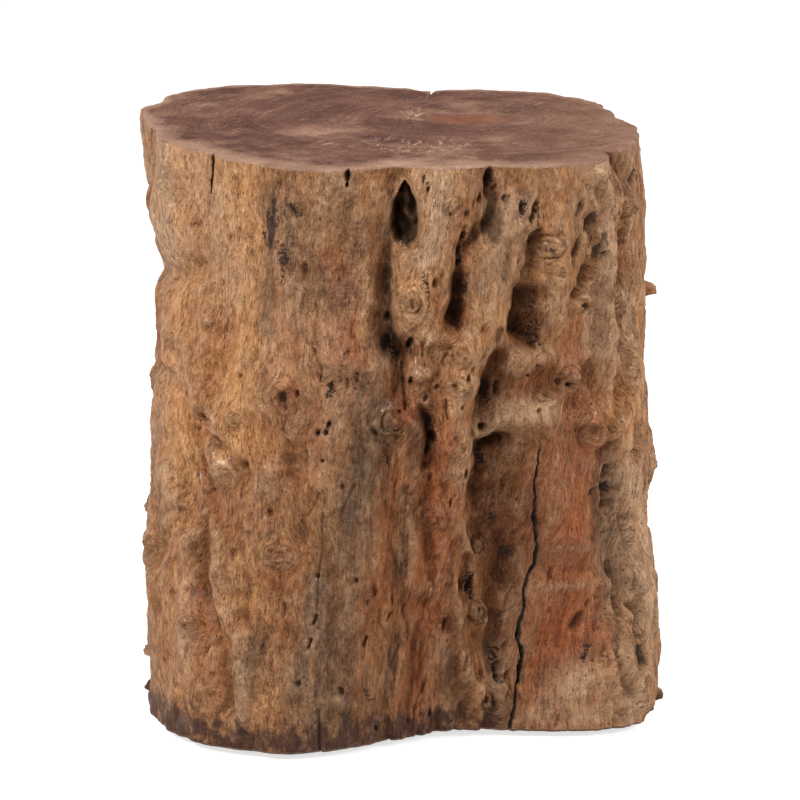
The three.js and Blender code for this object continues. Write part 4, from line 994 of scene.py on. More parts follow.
# %% [markdown]
# Weather turned some strips grey, damp and resin turned others red, and brushing left pale dust on the proud
# parts near the foot and rim; the pale bands also carry painted highlight along lit edges and ridges. The
# umber bands are dark wood with painted shade along furrows and hollows, and the stain spots are bark remnants
# with painted shade in pits, crevices and under the lip. Each is a band drawn on the wall, frayed along the
# grain.

# %% Colour zones
def zone(rows):
    """Soft bands. Each row is a half width, a strength and the points of a line."""
    total = np.zeros_like(azimuths)
    for half, strength, *points in rows:
        total = np.maximum(total, strength * soft_band(places(points, spot), half))
    return total


fray = 0.5 * cord_noise(0.02, 0.09, 51) + 0.5 * cord_noise(0.007, 0.05, 52)
grey = zone([
    (0.12, 0.8, (275, 205), (300, 250), (318, 300)), (0.1, 0.6, (340, 190), (350, 240)),
    (0.06, 0.6, (268, 250), (262, 330)), (0.1, 0.9, (362, 390), (372, 430), (355, 500), (345, 570)),
    (0.13, 1.0, (330, 600), (318, 680), (330, 750)), (0.08, 0.6, (255, 640), (225, 735)),
    (0.05, 0.7, (405, 500), (400, 570)), (0.06, 0.6, (395, 640), (380, 720)),
    (0.045, 0.6, (422, 425), (415, 470)), (0.06, 1.0, (607, 470), (611, 540), (619, 610)),
    (0.05, 0.7, (632, 600), (640, 700)), (0.06, 0.5, (580, 200), (590, 240)),
    (0.04, 0.5, (530, 200), (520, 230)), (0.14, 0.7, [150, 0.9], [146, 0.2]),
    (0.12, 0.7, [-170, 0.6], [-165, 0.1]), (0.1, 0.6, [-112, 0.5], [-114, 0.1]),
    (0.07, 0.6, [99, 0.6], [96, 0.1]),
])
grey = unit((unit(grey * (1 + 0.9 * fray)) - 0.12) * 1.25)
gold = zone([
    (0.2, 0.9, (185, 170), (175, 300), (180, 430)), (0.12, 0.35, (170, 480), (166, 700)),
    (0.12, 0.6, (225, 570), (222, 700)), (0.16, 0.9, (240, 180), (235, 330), (232, 430)),
    (0.1, 0.5, (250, 560), (240, 700)), (0.11, 1.0, (445, 185), (430, 240), (420, 290)),
    (0.09, 0.9, (552, 250), (545, 330)), (0.08, 1.0, (600, 170), (612, 250), (603, 345)),
    (0.12, 0.9, (645, 360), (620, 420), (600, 460)), (0.06, 0.6, (570, 180), (566, 230)),
    (0.07, 0.7, (500, 310), (478, 345), (462, 400)), (0.06, 0.7, (500, 425), (545, 420)),
    (0.08, 1.0, (640, 480), (648, 700)), (0.07, 0.4, (412, 300), (420, 330)),
    (0.07, 0.5, (345, 330), (352, 400)), (0.06, 0.5, (498, 215), (515, 270)),
    (0.05, 0.9, (640, 310), (634, 430)), (0.05, 0.4, (500, 655), (502, 700)),
    (0.2, 0.7, [-120, 0.9], [-125, 0.5], [-120, 0.2]), (0.2, 0.6, [110, 0.8], [120, 0.4]),
    (0.2, 0.6, [175, 0.8], [160, 0.5], [170, 0.2]),
])
gold = unit(gold * (1 + 0.6 * fray))
# Umber bands: dark brown wood, and painted shade along the furrows, hollows and the panel under the lip.
umber_and_shade = zone([
    (0.1, 0.75, (500, 455), (495, 500), (494, 560)), (0.07, 0.7, (512, 560), (508, 610), (502, 670)),
    (0.06, 0.8, (498, 690), (492, 730)), (0.06, 0.85, (531, 292), (529, 335)),
    (0.03, 0.6, (535, 235), (532, 265)), (0.035, 0.3, (391, 185), (384, 250), (384, 320)),
    (0.045, 0.9, (384, 335), (398, 350), (408, 352)), (0.03, 0.5, (498, 205), (472, 245)),
    (0.035, 0.8, (461, 275), (456, 320)), (0.05, 0.8, (498, 350), (488, 385), (484, 425)),
    (0.045, 0.8, (468, 560), (464, 598)), (0.07, 0.8, (624, 155), (628, 190)),
    (0.04, 0.6, (420, 430), (428, 466)), (0.035, 0.8, (604, 450), (608, 500)),
    (0.03, 0.7, (622, 560), (638, 610), (634, 648)), (0.03, 0.5, (640, 240), (636, 300)),
    (0.07, 0.5, (470, 640), (455, 720)), (0.06, 0.4, (350, 560), (340, 700)),
    (0.06, 0.6, [98, 0.5], [95, 0.2]), (0.08, 0.8, [170, 0.9], [166, 0.6]),
    (0.07, 0.6, [146, 0.8], [148, 0.2]), (0.07, 0.7, [-165, 0.2], [-162, 0.7]),
    (0.07, 0.6, [-115, 0.5], [-116, 0.1]),
])
umber_and_shade = unit(umber_and_shade * (1 + 0.5 * fray))
ruddy = zone([
    (0.08, 0.8, (340, 290), (335, 340), (350, 400)), (0.06, 0.7, (325, 260), (345, 300)),
    (0.07, 0.8, (400, 420), (430, 400)), (0.14, 0.8, (430, 440), (440, 560), (425, 700)),
    (0.06, 0.6, (395, 480), (385, 560), (372, 620)), (0.1, 0.75, (535, 380), (560, 420)),
    (0.07, 0.8, (575, 330), (586, 415)), (0.15, 0.9, (575, 430), (575, 560), (565, 650)),
    (0.1, 1.0, (551, 450), (549, 560), (538, 700)), (0.08, 0.8, (540, 640), (545, 720)),
    (0.08, 0.8, (590, 500), (600, 640)), (0.05, 0.8, (276, 557), (270, 580)),
    (0.09, 0.5, (200, 340), (205, 420)), (0.09, 0.4, (190, 560), (215, 700)),
    (0.05, 0.8, (270, 225), (285, 260)), (0.04, 0.8, (290, 390), (282, 410)),
    (0.05, 0.5, (440, 300), (450, 330)), (0.06, 0.6, (160, 300), (156, 360)),
    (0.1, 0.7, [130, 0.5], [126, 0.2]), (0.1, 0.6, [-146, 0.5], [-150, 0.2]),
    (0.07, 0.5, [83, 0.7], [80, 0.4]),
])
ruddy = unit(ruddy * (1 + 0.8 * fray))
# Pale bands: pale dust, and painted highlight along lit edges, ridges, the lip and a groove.
pale_dust_and_highlight = zone([
    (0.16, 0.5, [-60, 0.98], [-50, 0.9], [-46, 0.8]), (0.07, 0.72, [54, 0.1], [48, 0.05]),
    (0.05, 0.7, [42, 0.03], [60, 0.03]), (0.05, 0.9, [50, 1], [53, 0.9], [55, 0.75], [53, 0.67]),
    (0.08, 0.8, [72, 0.6], [70, 0.4], [70, 0.2], [68, 0.05]), (0.04, 0.6, [74, 0.54], [60, 0.49]),
    (0.08, 0.5, [-76, 0.9], [-72, 0.5]), (0.08, 0.5, [-86, 0.4], [-80, 0.2]),
    (0.06, 0.4, [-30, 0.75], [-34, 0.6]), (0.1, 1.0, (440, 182), (424, 256)),
    (0.06, 1.0, (484, 430), (510, 416), (552, 412)), (0.12, 1.0, (154, 150), (163, 245)),
    (0.05, 0.5, (632, 150), (642, 280)), (0.04, 0.6, (390, 200), (388, 360)),
    (0.07, 0.45, (325, 330), (335, 430)), (0.06, 0.7, (632, 300), (630, 350)),
    (0.085, 1.0, (640, 480), (643, 600), (643, 710)), (0.08, 0.5, (440, 650), (452, 722)),
    (0.05, 0.4, (495, 650), (500, 705)), (0.07, 1.0, (603, 168), (606, 240), (611, 345)),
    (0.08, 0.8, (500, 205), (506, 285)), (0.018, 0.45, (545, 590), (600, 584)),
    (0.016, 0.35, (548, 550), (600, 546)),
])
pale_dust_and_highlight = unit(pale_dust_and_highlight * (1 + 0.7 * fray))
# Stain spots: bark remnants on the left face, and painted shade in pits, crevices and under the lip.
stain_and_shade = zone([
    (0.02, 0.85, (272, 203), (272, 214)), (0.017, 0.8, (266, 212), (265, 228)),
    (0.026, 1.0, (271, 224), (268, 244)), (0.01, 0.85, (277, 216), (275, 226)),
    (0.018, 0.7, (262, 234), (264, 246)), (0.03, 0.74, (276, 247), (282, 262)),
    (0.014, 0.6, (280, 264), (281, 284)), (0.026, 0.8, (289, 208)), (0.03, 0.72, (296, 213)),
    (0.005, 0.7, (319, 218), (318, 232)), (0.02, 0.92, (331, 384), (328, 394)),
    (0.022, 0.58, (340, 378), (356, 386)), (0.02, 0.62, (357, 374)), (0.014, 0.5, (347, 353)),
    (0.012, 0.7, (328, 424), (325, 434)), (0.012, 0.7, (316, 434)), (0.014, 0.7, (386, 456), (387, 464)),
    (0.014, 0.62, (282, 394), (284, 414)), (0.026, 0.62, (591, 648), (588, 658)), (0.014, 0.6, (607, 657)),
    (0.012, 0.56, (534, 648)), (0.014, 0.62, (428, 172), (428, 190)), (0.016, 0.5, (427, 274), (429, 312)),
    (0.01, 0.6, (424, 272), (425, 284)), (0.02, 0.55, (546, 180)), (0.016, 0.7, (538, 206), (538, 232)),
    (0.016, 0.62, (467, 228), (459, 262)), (0.02, 0.6, (487, 172), (486, 186)),
    (0.014, 0.6, (524, 204), (522, 216)), (0.014, 0.8, (553, 251)), (0.022, 0.5, (535, 290), (534, 314)),
    (0.03, 0.62, (522, 316), (530, 342)), (0.022, 0.6, (536, 320), (536, 344)),
    (0.02, 0.55, (458, 300), (456, 324)), (0.018, 0.5, (465, 276), (464, 290)),
    (0.03, 0.66, (384, 338), (396, 352)), (0.016, 0.72, (410, 340), (410, 352)), (0.014, 0.7, (387, 314)),
    (0.016, 0.68, (484, 378), (487, 400)), (0.022, 0.7, (426, 412), (431, 436)),
    (0.02, 0.72, (480, 440), (480, 462)), (0.016, 0.6, (486, 442), (500, 438)),
    (0.03, 0.56, (490, 492), (492, 520)), (0.014, 0.5, (503, 486), (502, 506)), (0.03, 0.66, (513, 552)),
    (0.028, 0.74, (468, 570), (471, 596)), (0.02, 0.5, (503, 614), (500, 634)),
    (0.026, 0.52, (498, 650), (500, 680)), (0.03, 0.62, (492, 718), (502, 724)),
    (0.014, 0.56, (468, 660), (464, 676)), (0.012, 0.8, (318, 728), (318, 752)), (0.014, 0.66, (338, 690)),
    (0.022, 0.52, (322, 686), (334, 694)), (0.018, 0.56, (364, 692), (370, 700)),
    (0.018, 0.6, (370, 590), (368, 604)), (0.016, 0.6, (355, 742), (372, 742)),
    (0.02, 0.6, (640, 172), (640, 180)), (0.02, 0.52, (614, 176), (618, 206)),
    (0.03, 0.9, [140, 0.6], [143, 0.5]), (0.03, 0.9, [-130, 0.5], [-128, 0.4]), (0.04, 0.8, [178, 0.4]),
])
# Damp rises from the foot, except below the hollow panel. Streaks mark where the fibres hang in long strings.
damp_height, damp_fray, damp_fade = 0.08, 0.035, 0.05
dry_foot = soft_band([[41, 0.0], [62, 0.0]], 0.16)
damp = unit((damp_height + damp_fray * fray - heights) / damp_fade) * (1 - 0.8 * dry_foot)
upper_lobes = unit((heights - 0.55) / 0.2) * (azimuths < 55)
streaks = 0.9 * hill(azimuths, 58, 42, 6) * (1 - 0.5 * upper_lobes)
streaks = np.maximum(streaks, 0.6 * hill(azimuths, -4, 14, 4) * unit((0.55 - heights) / 0.1))
stain_and_shade = unit(stain_and_shade * (1 + 0.5 * fray))
masks = {
    "hollow": hollow, "ridge": ridge, "gold": gold, "umber_and_shade": umber_and_shade, "grey": grey, "ruddy": ruddy,
    "pale_dust_and_highlight": pale_dust_and_highlight, "stain_and_shade": stain_and_shade, "damp": damp, "streaks": streaks, "knot_rings": knot_rings,
    "knot_hearts": knot_hearts, "stubs": stubs,
}
print("mask means", {name: round(float(field.mean()), 3) for name, field in masks.items()})

# %% [markdown]
# The masks go onto the mesh as point attributes, which a material can read anywhere. Two more go with
# them: how far a place on the seat is from its rim, and the grain place, a point in space that runs along
# the fibres and follows the slow relief but not the fine one.

# %% Masks onto the mesh
def on_points(name, wall_field, seat_value=0.0, foot_value=0.0):
    """Writes one number per mesh point, from the wall's grid and from values for the seat and the foot."""
    values = np.zeros(len(points), np.float32)
    values[:wall_total] = wall_field[ring_rows].ravel()
    values[seat_start:foot_start] = seat_value
    values[foot_start:] = foot_value
    trunk_mesh.attributes.new(name, "FLOAT", "POINT").data.foreach_set("value", values)


seat_reach = np.hypot(seat_inner[:, 0], seat_inner[:, 1])
rim_turn = np.arctan2(wall_points[-1, :, 0], -wall_points[-1, :, 1])
rim_reach = np.hypot(wall_points[-1, :, 0], wall_points[-1, :, 1])
rim_order = np.argsort(rim_turn)
calmed_columns, rim_fade_metres = 9, 0.05
calmed = np.convolve(np.tile(rim_reach[rim_order], 3), np.ones(calmed_columns) / calmed_columns, "same")
calmed = calmed[column_count:2 * column_count]
seat_turn = np.arctan2(seat_inner[:, 0], -seat_inner[:, 1])
seat_rim = np.interp(seat_turn, rim_turn[rim_order], calmed, period=2 * math.pi)
from_rim = unit((seat_rim - seat_reach) / rim_fade_metres)
for name, field in masks.items():
    on_points(name, field)
on_points("from_rim", np.zeros_like(azimuths), from_rim, 0.5)
grain_turn = grain_around * 2 * math.pi
bulk = radius_shares - loft(azimuths, heights)  # the relief, soon without its fine part
blur_passes = 18
for _ in range(blur_passes):
    bulk = (np.roll(bulk, 1, axis=1) + bulk + np.roll(bulk, -1, axis=1)) / 3
    bulk[1:-1] = (bulk[:-2] + bulk[1:-1] + bulk[2:]) / 3
grain_reach = half_width * (girth_share + bulk)  # so steep walls keep fibres that run up and down
grain_x, grain_y = grain_reach * np.sin(grain_turn), -grain_reach * np.cos(grain_turn)
grain_place = np.stack([grain_x, grain_y, grain_up * trunk_height], axis=-1)
grain_values = points.copy()
grain_values[:wall_total] = grain_place[ring_rows].reshape(-1, 3)
grain_attribute = trunk_mesh.attributes.new("grain", "FLOAT_VECTOR", "POINT")
grain_attribute.data.foreach_set("vector", grain_values.astype(np.float32).ravel())
print(len(trunk_mesh.attributes), "attributes on the mesh")

# %% [markdown]
# A flat map of the surface lets the finish be baked for use elsewhere. The wall is unrolled in two strips,
# the front one wider because it has the finest detail, and the seat and foot lie beside each other above
# them.

# %% Flat map
map_edge, front_wide, back_start, back_wide, wall_tall = 0.005, 0.6, 0.615, 0.38, 0.56
disc_middles, disc_height, disc_wide, disc_reach = (0.25, 0.75), 0.785, 0.46, 2.04 * half_width
quad_u = (azimuths[ring_rows] + 180) / 360
row_of, column_of = np.divmod(np.arange(len(quads)), column_count)
next_column = (column_of + 1) % column_count
wrap_up = (next_column == 0).astype(float)
u_corners = np.stack([
    quad_u[row_of, column_of], quad_u[row_of, next_column] + wrap_up,
    quad_u[row_of + 1, next_column] + wrap_up, quad_u[row_of + 1, column_of],
], axis=1)
v_rows = np.concatenate([[0], np.cumsum(np.abs(np.diff(wall_points[:, 0, 2])) + 1e-5)])
v_rows = v_rows / v_rows[-1]
v_corners = np.stack([v_rows[row_of], v_rows[row_of], v_rows[row_of + 1], v_rows[row_of + 1]], axis=1)
middle_turn = column_of / column_count
in_front = (middle_turn >= 0.25) & (middle_turn < 0.75)
quarter, three_quarters = quad_u[:, column_count // 4].min(), quad_u[:, 3 * column_count // 4].max()
front_u = map_edge + front_wide * (u_corners - quarter) / (three_quarters - quarter)
past_front = u_corners >= three_quarters - 0.02
back_raw = np.where(past_front, u_corners - three_quarters, u_corners + 1 - three_quarters)
back_u = back_start + back_wide * back_raw / (1 - three_quarters + quarter + 0.001)
uv = np.zeros((len(corners), 2))
wall_corners = len(quads) * 4
uv[:wall_corners, 0] = np.where(in_front[:, None], front_u, back_u).ravel()
uv[:wall_corners, 1] = map_edge + wall_tall * v_corners.ravel()
flat_corners = corners[wall_corners:]
is_seat = np.repeat(slots[len(quads):] == 1, sizes[len(quads):])
disc = points[flat_corners][:, :2] / disc_reach
uv[wall_corners:, 0] = np.where(is_seat, *disc_middles) + disc[:, 0] * disc_wide
uv[wall_corners:, 1] = disc_height + disc[:, 1] * disc_wide
bake_map = trunk_mesh.uv_layers.new(name="OFBake")
bake_map.data.foreach_set("uv", uv.astype(np.float32).ravel())
print("map spans", uv.min(0).round(3), uv.max(0).round(3))

# %% [markdown]
# Materials are built from nodes. Small helpers keep that readable: paint turns a colour as seen on a screen
# into the renderer's own numbers, put adds a node and plugs in what it is given, the others use these two.

# %% Colour and node helpers
def linear(channel):
    """One channel of a screen colour, 0 to 255, as a linear number by the screens' own curve."""
    return channel / 255 / 12.92 if channel <= 10 else ((channel / 255 + 0.055) / 1.055) ** 2.4


def paint(red, green, blue):
    """A colour as a screen shows it, in linear numbers."""
    return linear(red), linear(green), linear(blue), 1.0


def plug(tree, node, plugs):
    """Links sockets to a node's inputs and sets values on them."""
    for name, value in plugs.items():
        if isinstance(value, bpy.types.NodeSocket):
            tree.links.new(value, node.inputs[name])
        else:
            node.inputs[name].default_value = value


def put(tree, kind, plugs=None, out=0, **settings):
    """Adds a node, sets it, plugs sockets or values into its inputs, and returns one output."""
    node = tree.nodes.new("ShaderNode" + kind)
    for name, value in settings.items():
        setattr(node, name, value)
    plug(tree, node, plugs or {})
    return node.outputs[out]


def sums(tree, operation, *values):
    """A Math node on one or more values."""
    return put(tree, "Math", dict(enumerate(values)), operation=operation)


def plus(tree, first, second):
    return sums(tree, "ADD", first, second)


def minus(tree, first, second):
    return sums(tree, "SUBTRACT", first, second)


def times(tree, first, second):
    return sums(tree, "MULTIPLY", first, second)


def larger(tree, first, second):
    return sums(tree, "MAXIMUM", first, second)


def vectors(tree, operation, first, second):
    """A Vector Math node on two vectors."""
    return put(tree, "VectorMath", {0: first, 1: second}, operation=operation)


def blend(tree, factor, under, over):
    """Mixes one colour over another."""
    return put(tree, "Mix", {0: factor, 6: under, 7: over}, out=2, data_type="RGBA", clamp_factor=True)


def spread(tree, value, low, high, to_low=0.0, to_high=1.0):
    """Stretches a value from low..high to to_low..to_high, clamped."""
    plugs = {"Value": value, "From Min": low, "From Max": high, "To Min": to_low, "To Max": to_high}
    return put(tree, "MapRange", plugs, clamp=True)


def shades(tree, factor, stops):
    """Colour ramp from (place, colour) stops."""
    node = tree.nodes.new("ShaderNodeValToRGB")
    ramp = node.color_ramp
    while len(ramp.elements) < len(stops):
        ramp.elements.new(0.5)
    for element, (place, colour) in zip(ramp.elements, stops):
        element.position = place
        element.color = paint(*colour)
    tree.links.new(factor, node.inputs[0])
    return node.outputs[0]


def grains(tree, vector, scale, detail, roughness=0.5):
    """Noise from 0 to 1."""
    plugs = {"Vector": vector, "Scale": scale, "Detail": detail, "Roughness": roughness}
    return put(tree, "TexNoise", plugs)


def clouds(tree, vector, scale, detail, roughness, *limits):
    """Noise stretched to a range."""
    return spread(tree, grains(tree, vector, scale, detail, roughness), *limits)


def mask(tree, name):
    """One of the mesh's masks."""
    return put(tree, "Attribute", out=2, attribute_name=name)


# %% [markdown]
# Effects that more than one material needs are node groups, so each is made once and has its own few
# knobs. Two more helpers make an empty group and place one in a material.

# %% Group helpers
def effect(name, inputs, outputs):
    """An empty node group; an input without a number is a vector. Returns it and its two end nodes."""
    group = bpy.data.node_groups.new(name, "ShaderNodeTree")
    for label, value in inputs.items():
        kind = "NodeSocketVector" if value is None else "NodeSocketFloat"
        socket = group.interface.new_socket(name=label, in_out="INPUT", socket_type=kind)
        if value is not None:
            socket.default_value = value
    for label in outputs:
        group.interface.new_socket(name=label, in_out="OUTPUT", socket_type="NodeSocketFloat")
    return group, group.nodes.new("NodeGroupInput").outputs, group.nodes.new("NodeGroupOutput").inputs


def use(tree, group, plugs):
    """Places a group in a material and returns its outputs."""
    node = tree.nodes.new("ShaderNodeGroup")
    node.node_tree = group
    plug(tree, node, plugs)
    return node.outputs


# %% [markdown]
# Fibres are the first shared effect. The grain places run round and up like the fibres do, so noise that is
# squeezed across them and stretched along them draws hair-fine lines that part round each knot.

# %% Shared effect: wood fibres
wood_fibres, given, result = effect(
    "wood_fibres", {"Grain": None, "Width": 0.001, "Length": 0.02}, ["Tone", "Height", "Gap"]
)
tree = wood_fibres
thin = sums(tree, "DIVIDE", 1.0, given["Width"])
long = sums(tree, "DIVIDE", 1.0, given["Length"])
stretch = put(tree, "CombineXYZ", {0: thin, 1: thin, 2: long})
squeezed = vectors(tree, "MULTIPLY", given["Grain"], stretch)
coarse = grains(tree, squeezed, 1.0, 3.0, 0.62)
fine = grains(tree, squeezed, 2.7, 2.0, 0.6)
both = plus(tree, times(tree, coarse, 0.62), times(tree, fine, 0.38))
tree.links.new(spread(tree, both, 0.3, 0.7), result["Tone"])
tree.links.new(both, result["Height"])
near_half = sums(tree, "ABSOLUTE", minus(tree, coarse, 0.5))
broken_up = clouds(tree, squeezed, 0.6, 2.0, 0.5, 0.48, 0.6)
gap = times(tree, spread(tree, near_half, 0.022, 0.008), broken_up)
tree.links.new(gap, result["Gap"])

# %% [markdown]
# Pores and slits are cells of a Voronoi pattern, stretched along the grain and warped a little. Only the
# middle of a cell shows, and a slow noise decides how much of it, so that pores come in patches.

# %% Shared effect: pores
wood_pores, given, result = effect(
    "wood_pores", {"Grain": None, "Width": 0.002, "Length": 0.008, "Share": 0.2}, ["Mask"]
)
tree = wood_pores
thin = sums(tree, "DIVIDE", 1.0, given["Width"])
long = sums(tree, "DIVIDE", 1.0, given["Length"])
stretch = put(tree, "CombineXYZ", {0: thin, 1: thin, 2: long})
squeezed = vectors(tree, "MULTIPLY", given["Grain"], stretch)
warp = put(tree, "TexNoise", {"Vector": squeezed, "Scale": 0.9, "Detail": 1.0}, out=1)
warped = vectors(tree, "ADD", squeezed, warp)
pore = put(tree, "TexVoronoi", {"Vector": warped, "Scale": 1.0}, feature="F1")
sparse = grains(tree, squeezed, 0.31, 1.0)
edge = times(tree, given["Share"], times(tree, sparse, 2.0))
tree.links.new(spread(tree, minus(tree, edge, pore), 0.0, 0.12), result["Mask"])

# %% [markdown]
# Proud places are worn and hold pale dust, but never evenly, and on the wall the same patches lay painted
# highlight on the ridges. This effect breaks a mask of proud places up into ragged patches that run along
# the grain.

# %% Shared effect: worn and dusty edges
worn_edges, given, result = effect(
    "worn_edges", {"Grain": None, "Proud": 0.0, "Patch": 0.01}, ["Mask"]
)
tree = worn_edges
patches = grains(tree, given["Grain"], sums(tree, "DIVIDE", 1.0, given["Patch"]), 4.0, 0.65)
frayed = spread(tree, patches, 0.35, 0.65, 0.35, 1.3)
worn = sums(tree, "MINIMUM", times(tree, given["Proud"], frayed), 1.0)
tree.links.new(worn, result["Mask"])

# %% [markdown]
# Scuffs are short scratches that lie mostly one way. Noise is turned, stretched and cut to thin lines, and
# a second, slow noise keeps them to a few places.

# %% Shared effect: scuffs
scuffs, given, result = effect(
    "scuffs", {"Place": None, "Size": 0.004, "Amount": 0.5}, ["Mask"]
)
tree = scuffs
turned = put(tree, "VectorRotate", {"Vector": given["Place"], "Angle": 0.7}, rotation_type="Z_AXIS")
drawn = vectors(tree, "MULTIPLY", turned, (1.0, 0.12, 1.0))
line = grains(tree, drawn, sums(tree, "DIVIDE", 1.0, given["Size"]), 3.0, 0.7)
where = grains(tree, given["Place"], 22.0, 2.0)
scratch = times(tree, spread(tree, line, 0.58, 0.7), spread(tree, where, 0.48, 0.62))
tree.links.new(times(tree, scratch, given["Amount"]), result["Mask"])
print("node groups:", [g.name for g in bpy.data.node_groups])

# %% [markdown]
# The wall. Honey sapwood lies over redder heartwood, weather has greyed some strips, and the hollows are
# darker, partly dirt that the brush never reached and partly painted shade; checks, deep pits and the rot hole
# are painted near black, as shade and, in the hole, dark rotten wood, and ridges carry dust with painted
# highlight. A thin clear coat gives it a satin gleam. Each zone has its own range of shades from the dark to
# the light fibres, and the masks choose between the ranges, so a grey strip still has grain.

# %% Wall material
def wood_material(name):
    """An empty material with its Principled shader. Returns the node tree and the shader's inputs."""
    material = bpy.data.materials.new(name)
    material.use_nodes = True
    trunk_mesh.materials.append(material)
    return material.node_tree, material.node_tree.nodes["Principled BSDF"].inputs


wall, shader = wood_material("brushed_wall")
grain = put(wall, "Attribute", out=1, attribute_name="grain")


def fibres(width, length):
    """Fibres of this width and length in metres, along the wall's grain."""
    return use(wall, wood_fibres, {"Grain": grain, "Width": width, "Length": length})


def pores(width, length, share, shift=None):
    """Pores along the wall's grain. A shift gives a set of its own."""
    at = vectors(wall, "ADD", grain, shift) if shift else grain
    return use(wall, wood_pores, {"Grain": at, "Width": width, "Length": length, "Share": share})["Mask"]


hair = fibres(0.0011, 0.0056)
combed = fibres(0.0012, 0.022)
strand = fibres(0.0032, 0.013)
broad = fibres(0.013, 0.034)
tuft = clouds(wall, vectors(wall, "MULTIPLY", grain, (1.0, 1.0, 0.62)), 210.0, 6.0, 0.74, 0.32, 0.68)
hair_tone = put(wall, "Mix", {0: mask(wall, "streaks"), 2: hair["Tone"], 3: combed["Tone"]})
fuzz = clouds(wall, grain, 1150.0, 2.0, 0.6, 0.32, 0.68)
stringy = fibres(0.0022, 0.045)
tuft_tone = put(wall, "Mix", {0: times(wall, mask(wall, "streaks"), 0.7), 2: tuft, 3: stringy["Tone"]})
tone = plus(wall, times(wall, hair_tone, 0.33), times(wall, strand["Tone"], 0.1))
tone = plus(wall, tone, times(wall, minus(wall, fuzz, 0.5), 0.16))
tone = plus(wall, tone, plus(wall, times(wall, broad["Tone"], 0.19), times(wall, tuft_tone, 0.36)))
tone = spread(wall, tone, 0.24, 0.76)
place = put(wall, "TexCoord", out=3)
drift = clouds(wall, place, 15.0, 4.0, 0.65, 0.36, 0.64)
honey = shades(wall, tone, [
    (0, (78, 46, 26)), (0.3, (142, 96, 60)), (0.6, (172, 123, 81)), (0.85, (194, 147, 104)),
    (1, (208, 165, 122)),
])
rust = shades(wall, tone, [
    (0, (66, 35, 20)), (0.35, (132, 80, 47)), (0.7, (168, 109, 67)), (1, (190, 136, 92)),
])
golden = shades(wall, tone, [
    (0, (104, 60, 32)), (0.3, (176, 118, 70)), (0.6, (207, 150, 98)), (0.85, (224, 172, 121)),
    (1, (234, 188, 140)),
])
silver = shades(wall, tone, [
    (0, (36, 26, 19)), (0.35, (83, 61, 45)), (0.7, (116, 89, 67)), (1, (150, 122, 96)),
])
ember = shades(wall, tone, [
    (0, (62, 27, 15)), (0.35, (134, 71, 40)), (0.7, (171, 98, 57)), (1, (200, 132, 86)),
])
# Colours for the umber bands: dark brown wood together with painted shade.
umber_and_shade_colours = shades(wall, tone, [(0, (50, 25, 13)), (0.5, (104, 58, 32)), (1, (154, 96, 57))])
# Pale dust colours, also used as painted highlight on ridges and lit edges.
dust_and_highlight_colours = shades(wall, tone, [
    (0, (136, 101, 73)), (0.4, (181, 141, 107)), (0.75, (211, 173, 138)), (1, (231, 200, 168)),
])
colour = blend(wall, drift, honey, rust)
red_drift = clouds(wall, vectors(wall, "ADD", place, (0.7, 0.2, 0.4)), 24.0, 5.0, 0.7, 0.5, 0.68, 0.0, 0.45)
grey_drift = clouds(wall, vectors(wall, "ADD", place, (0.1, 0.9, 0.6)), 19.0, 5.0, 0.7, 0.52, 0.7, 0.0, 0.35)
colour = blend(wall, mask(wall, "gold"), colour, golden)
colour = blend(wall, larger(wall, times(wall, mask(wall, "ruddy"), 0.92), red_drift), colour, ember)
colour = blend(wall, larger(wall, times(wall, mask(wall, "grey"), 0.86), grey_drift), colour, silver)
# The umber bands darken furrows and hollows: dark wood and painted shade.
colour = blend(wall, mask(wall, "umber_and_shade"), colour, umber_and_shade_colours)
# Ridges and pale bands are lightened: wear and dust, with painted highlight.
ridge_wear_and_highlight = use(wall, worn_edges, {"Grain": grain, "Proud": mask(wall, "ridge"), "Patch": 0.012})["Mask"]
edge_share = minus(wall, 0.55, times(wall, mask(wall, "ruddy"), 0.45))
dust_and_highlight = larger(wall, times(wall, mask(wall, "pale_dust_and_highlight"), 0.92), times(wall, ridge_wear_and_highlight, edge_share))
colour = blend(wall, dust_and_highlight, colour, dust_and_highlight_colours)
powder = clouds(wall, place, 1500.0, 2.0, 0.6, 0.5, 0.62)
powder = times(wall, powder, clouds(wall, place, 34.0, 3.0, 0.5, 0.54, 0.66))
colour = blend(wall, times(wall, powder, 0.6), colour, dust_and_highlight_colours)
ring_dark = times(wall, spread(wall, mask(wall, "knot_rings"), 0.0, 1.0), 0.45)
colour = blend(wall, ring_dark, colour, paint(86, 50, 32))
colour = blend(wall, spread(wall, mask(wall, "knot_hearts"), 0.15, 0.7), colour, paint(62, 36, 26))
cracks = fibres(0.0052, 0.03)["Gap"]
slits = pores(0.0019, 0.011, 0.19)
slits = larger(wall, larger(wall, slits, times(wall, cracks, 0.7)), times(wall, strand["Gap"], 0.4))
flecks = pores(0.0017, 0.012, 0.2, (0.31, 0.17, 0.23))
colour = blend(wall, times(wall, flecks, 0.25), colour, golden)
colour = blend(wall, times(wall, slits, 0.62), colour, paint(52, 31, 20))
# Hollows are darkened: dirt that the brush missed, and painted shade.
sunk = spread(wall, mask(wall, "hollow"), 0.12, 1.15, 0.0, 0.75)
colour = blend(wall, sunk, colour, blend(wall, 0.8, colour, paint(46, 25, 14)))
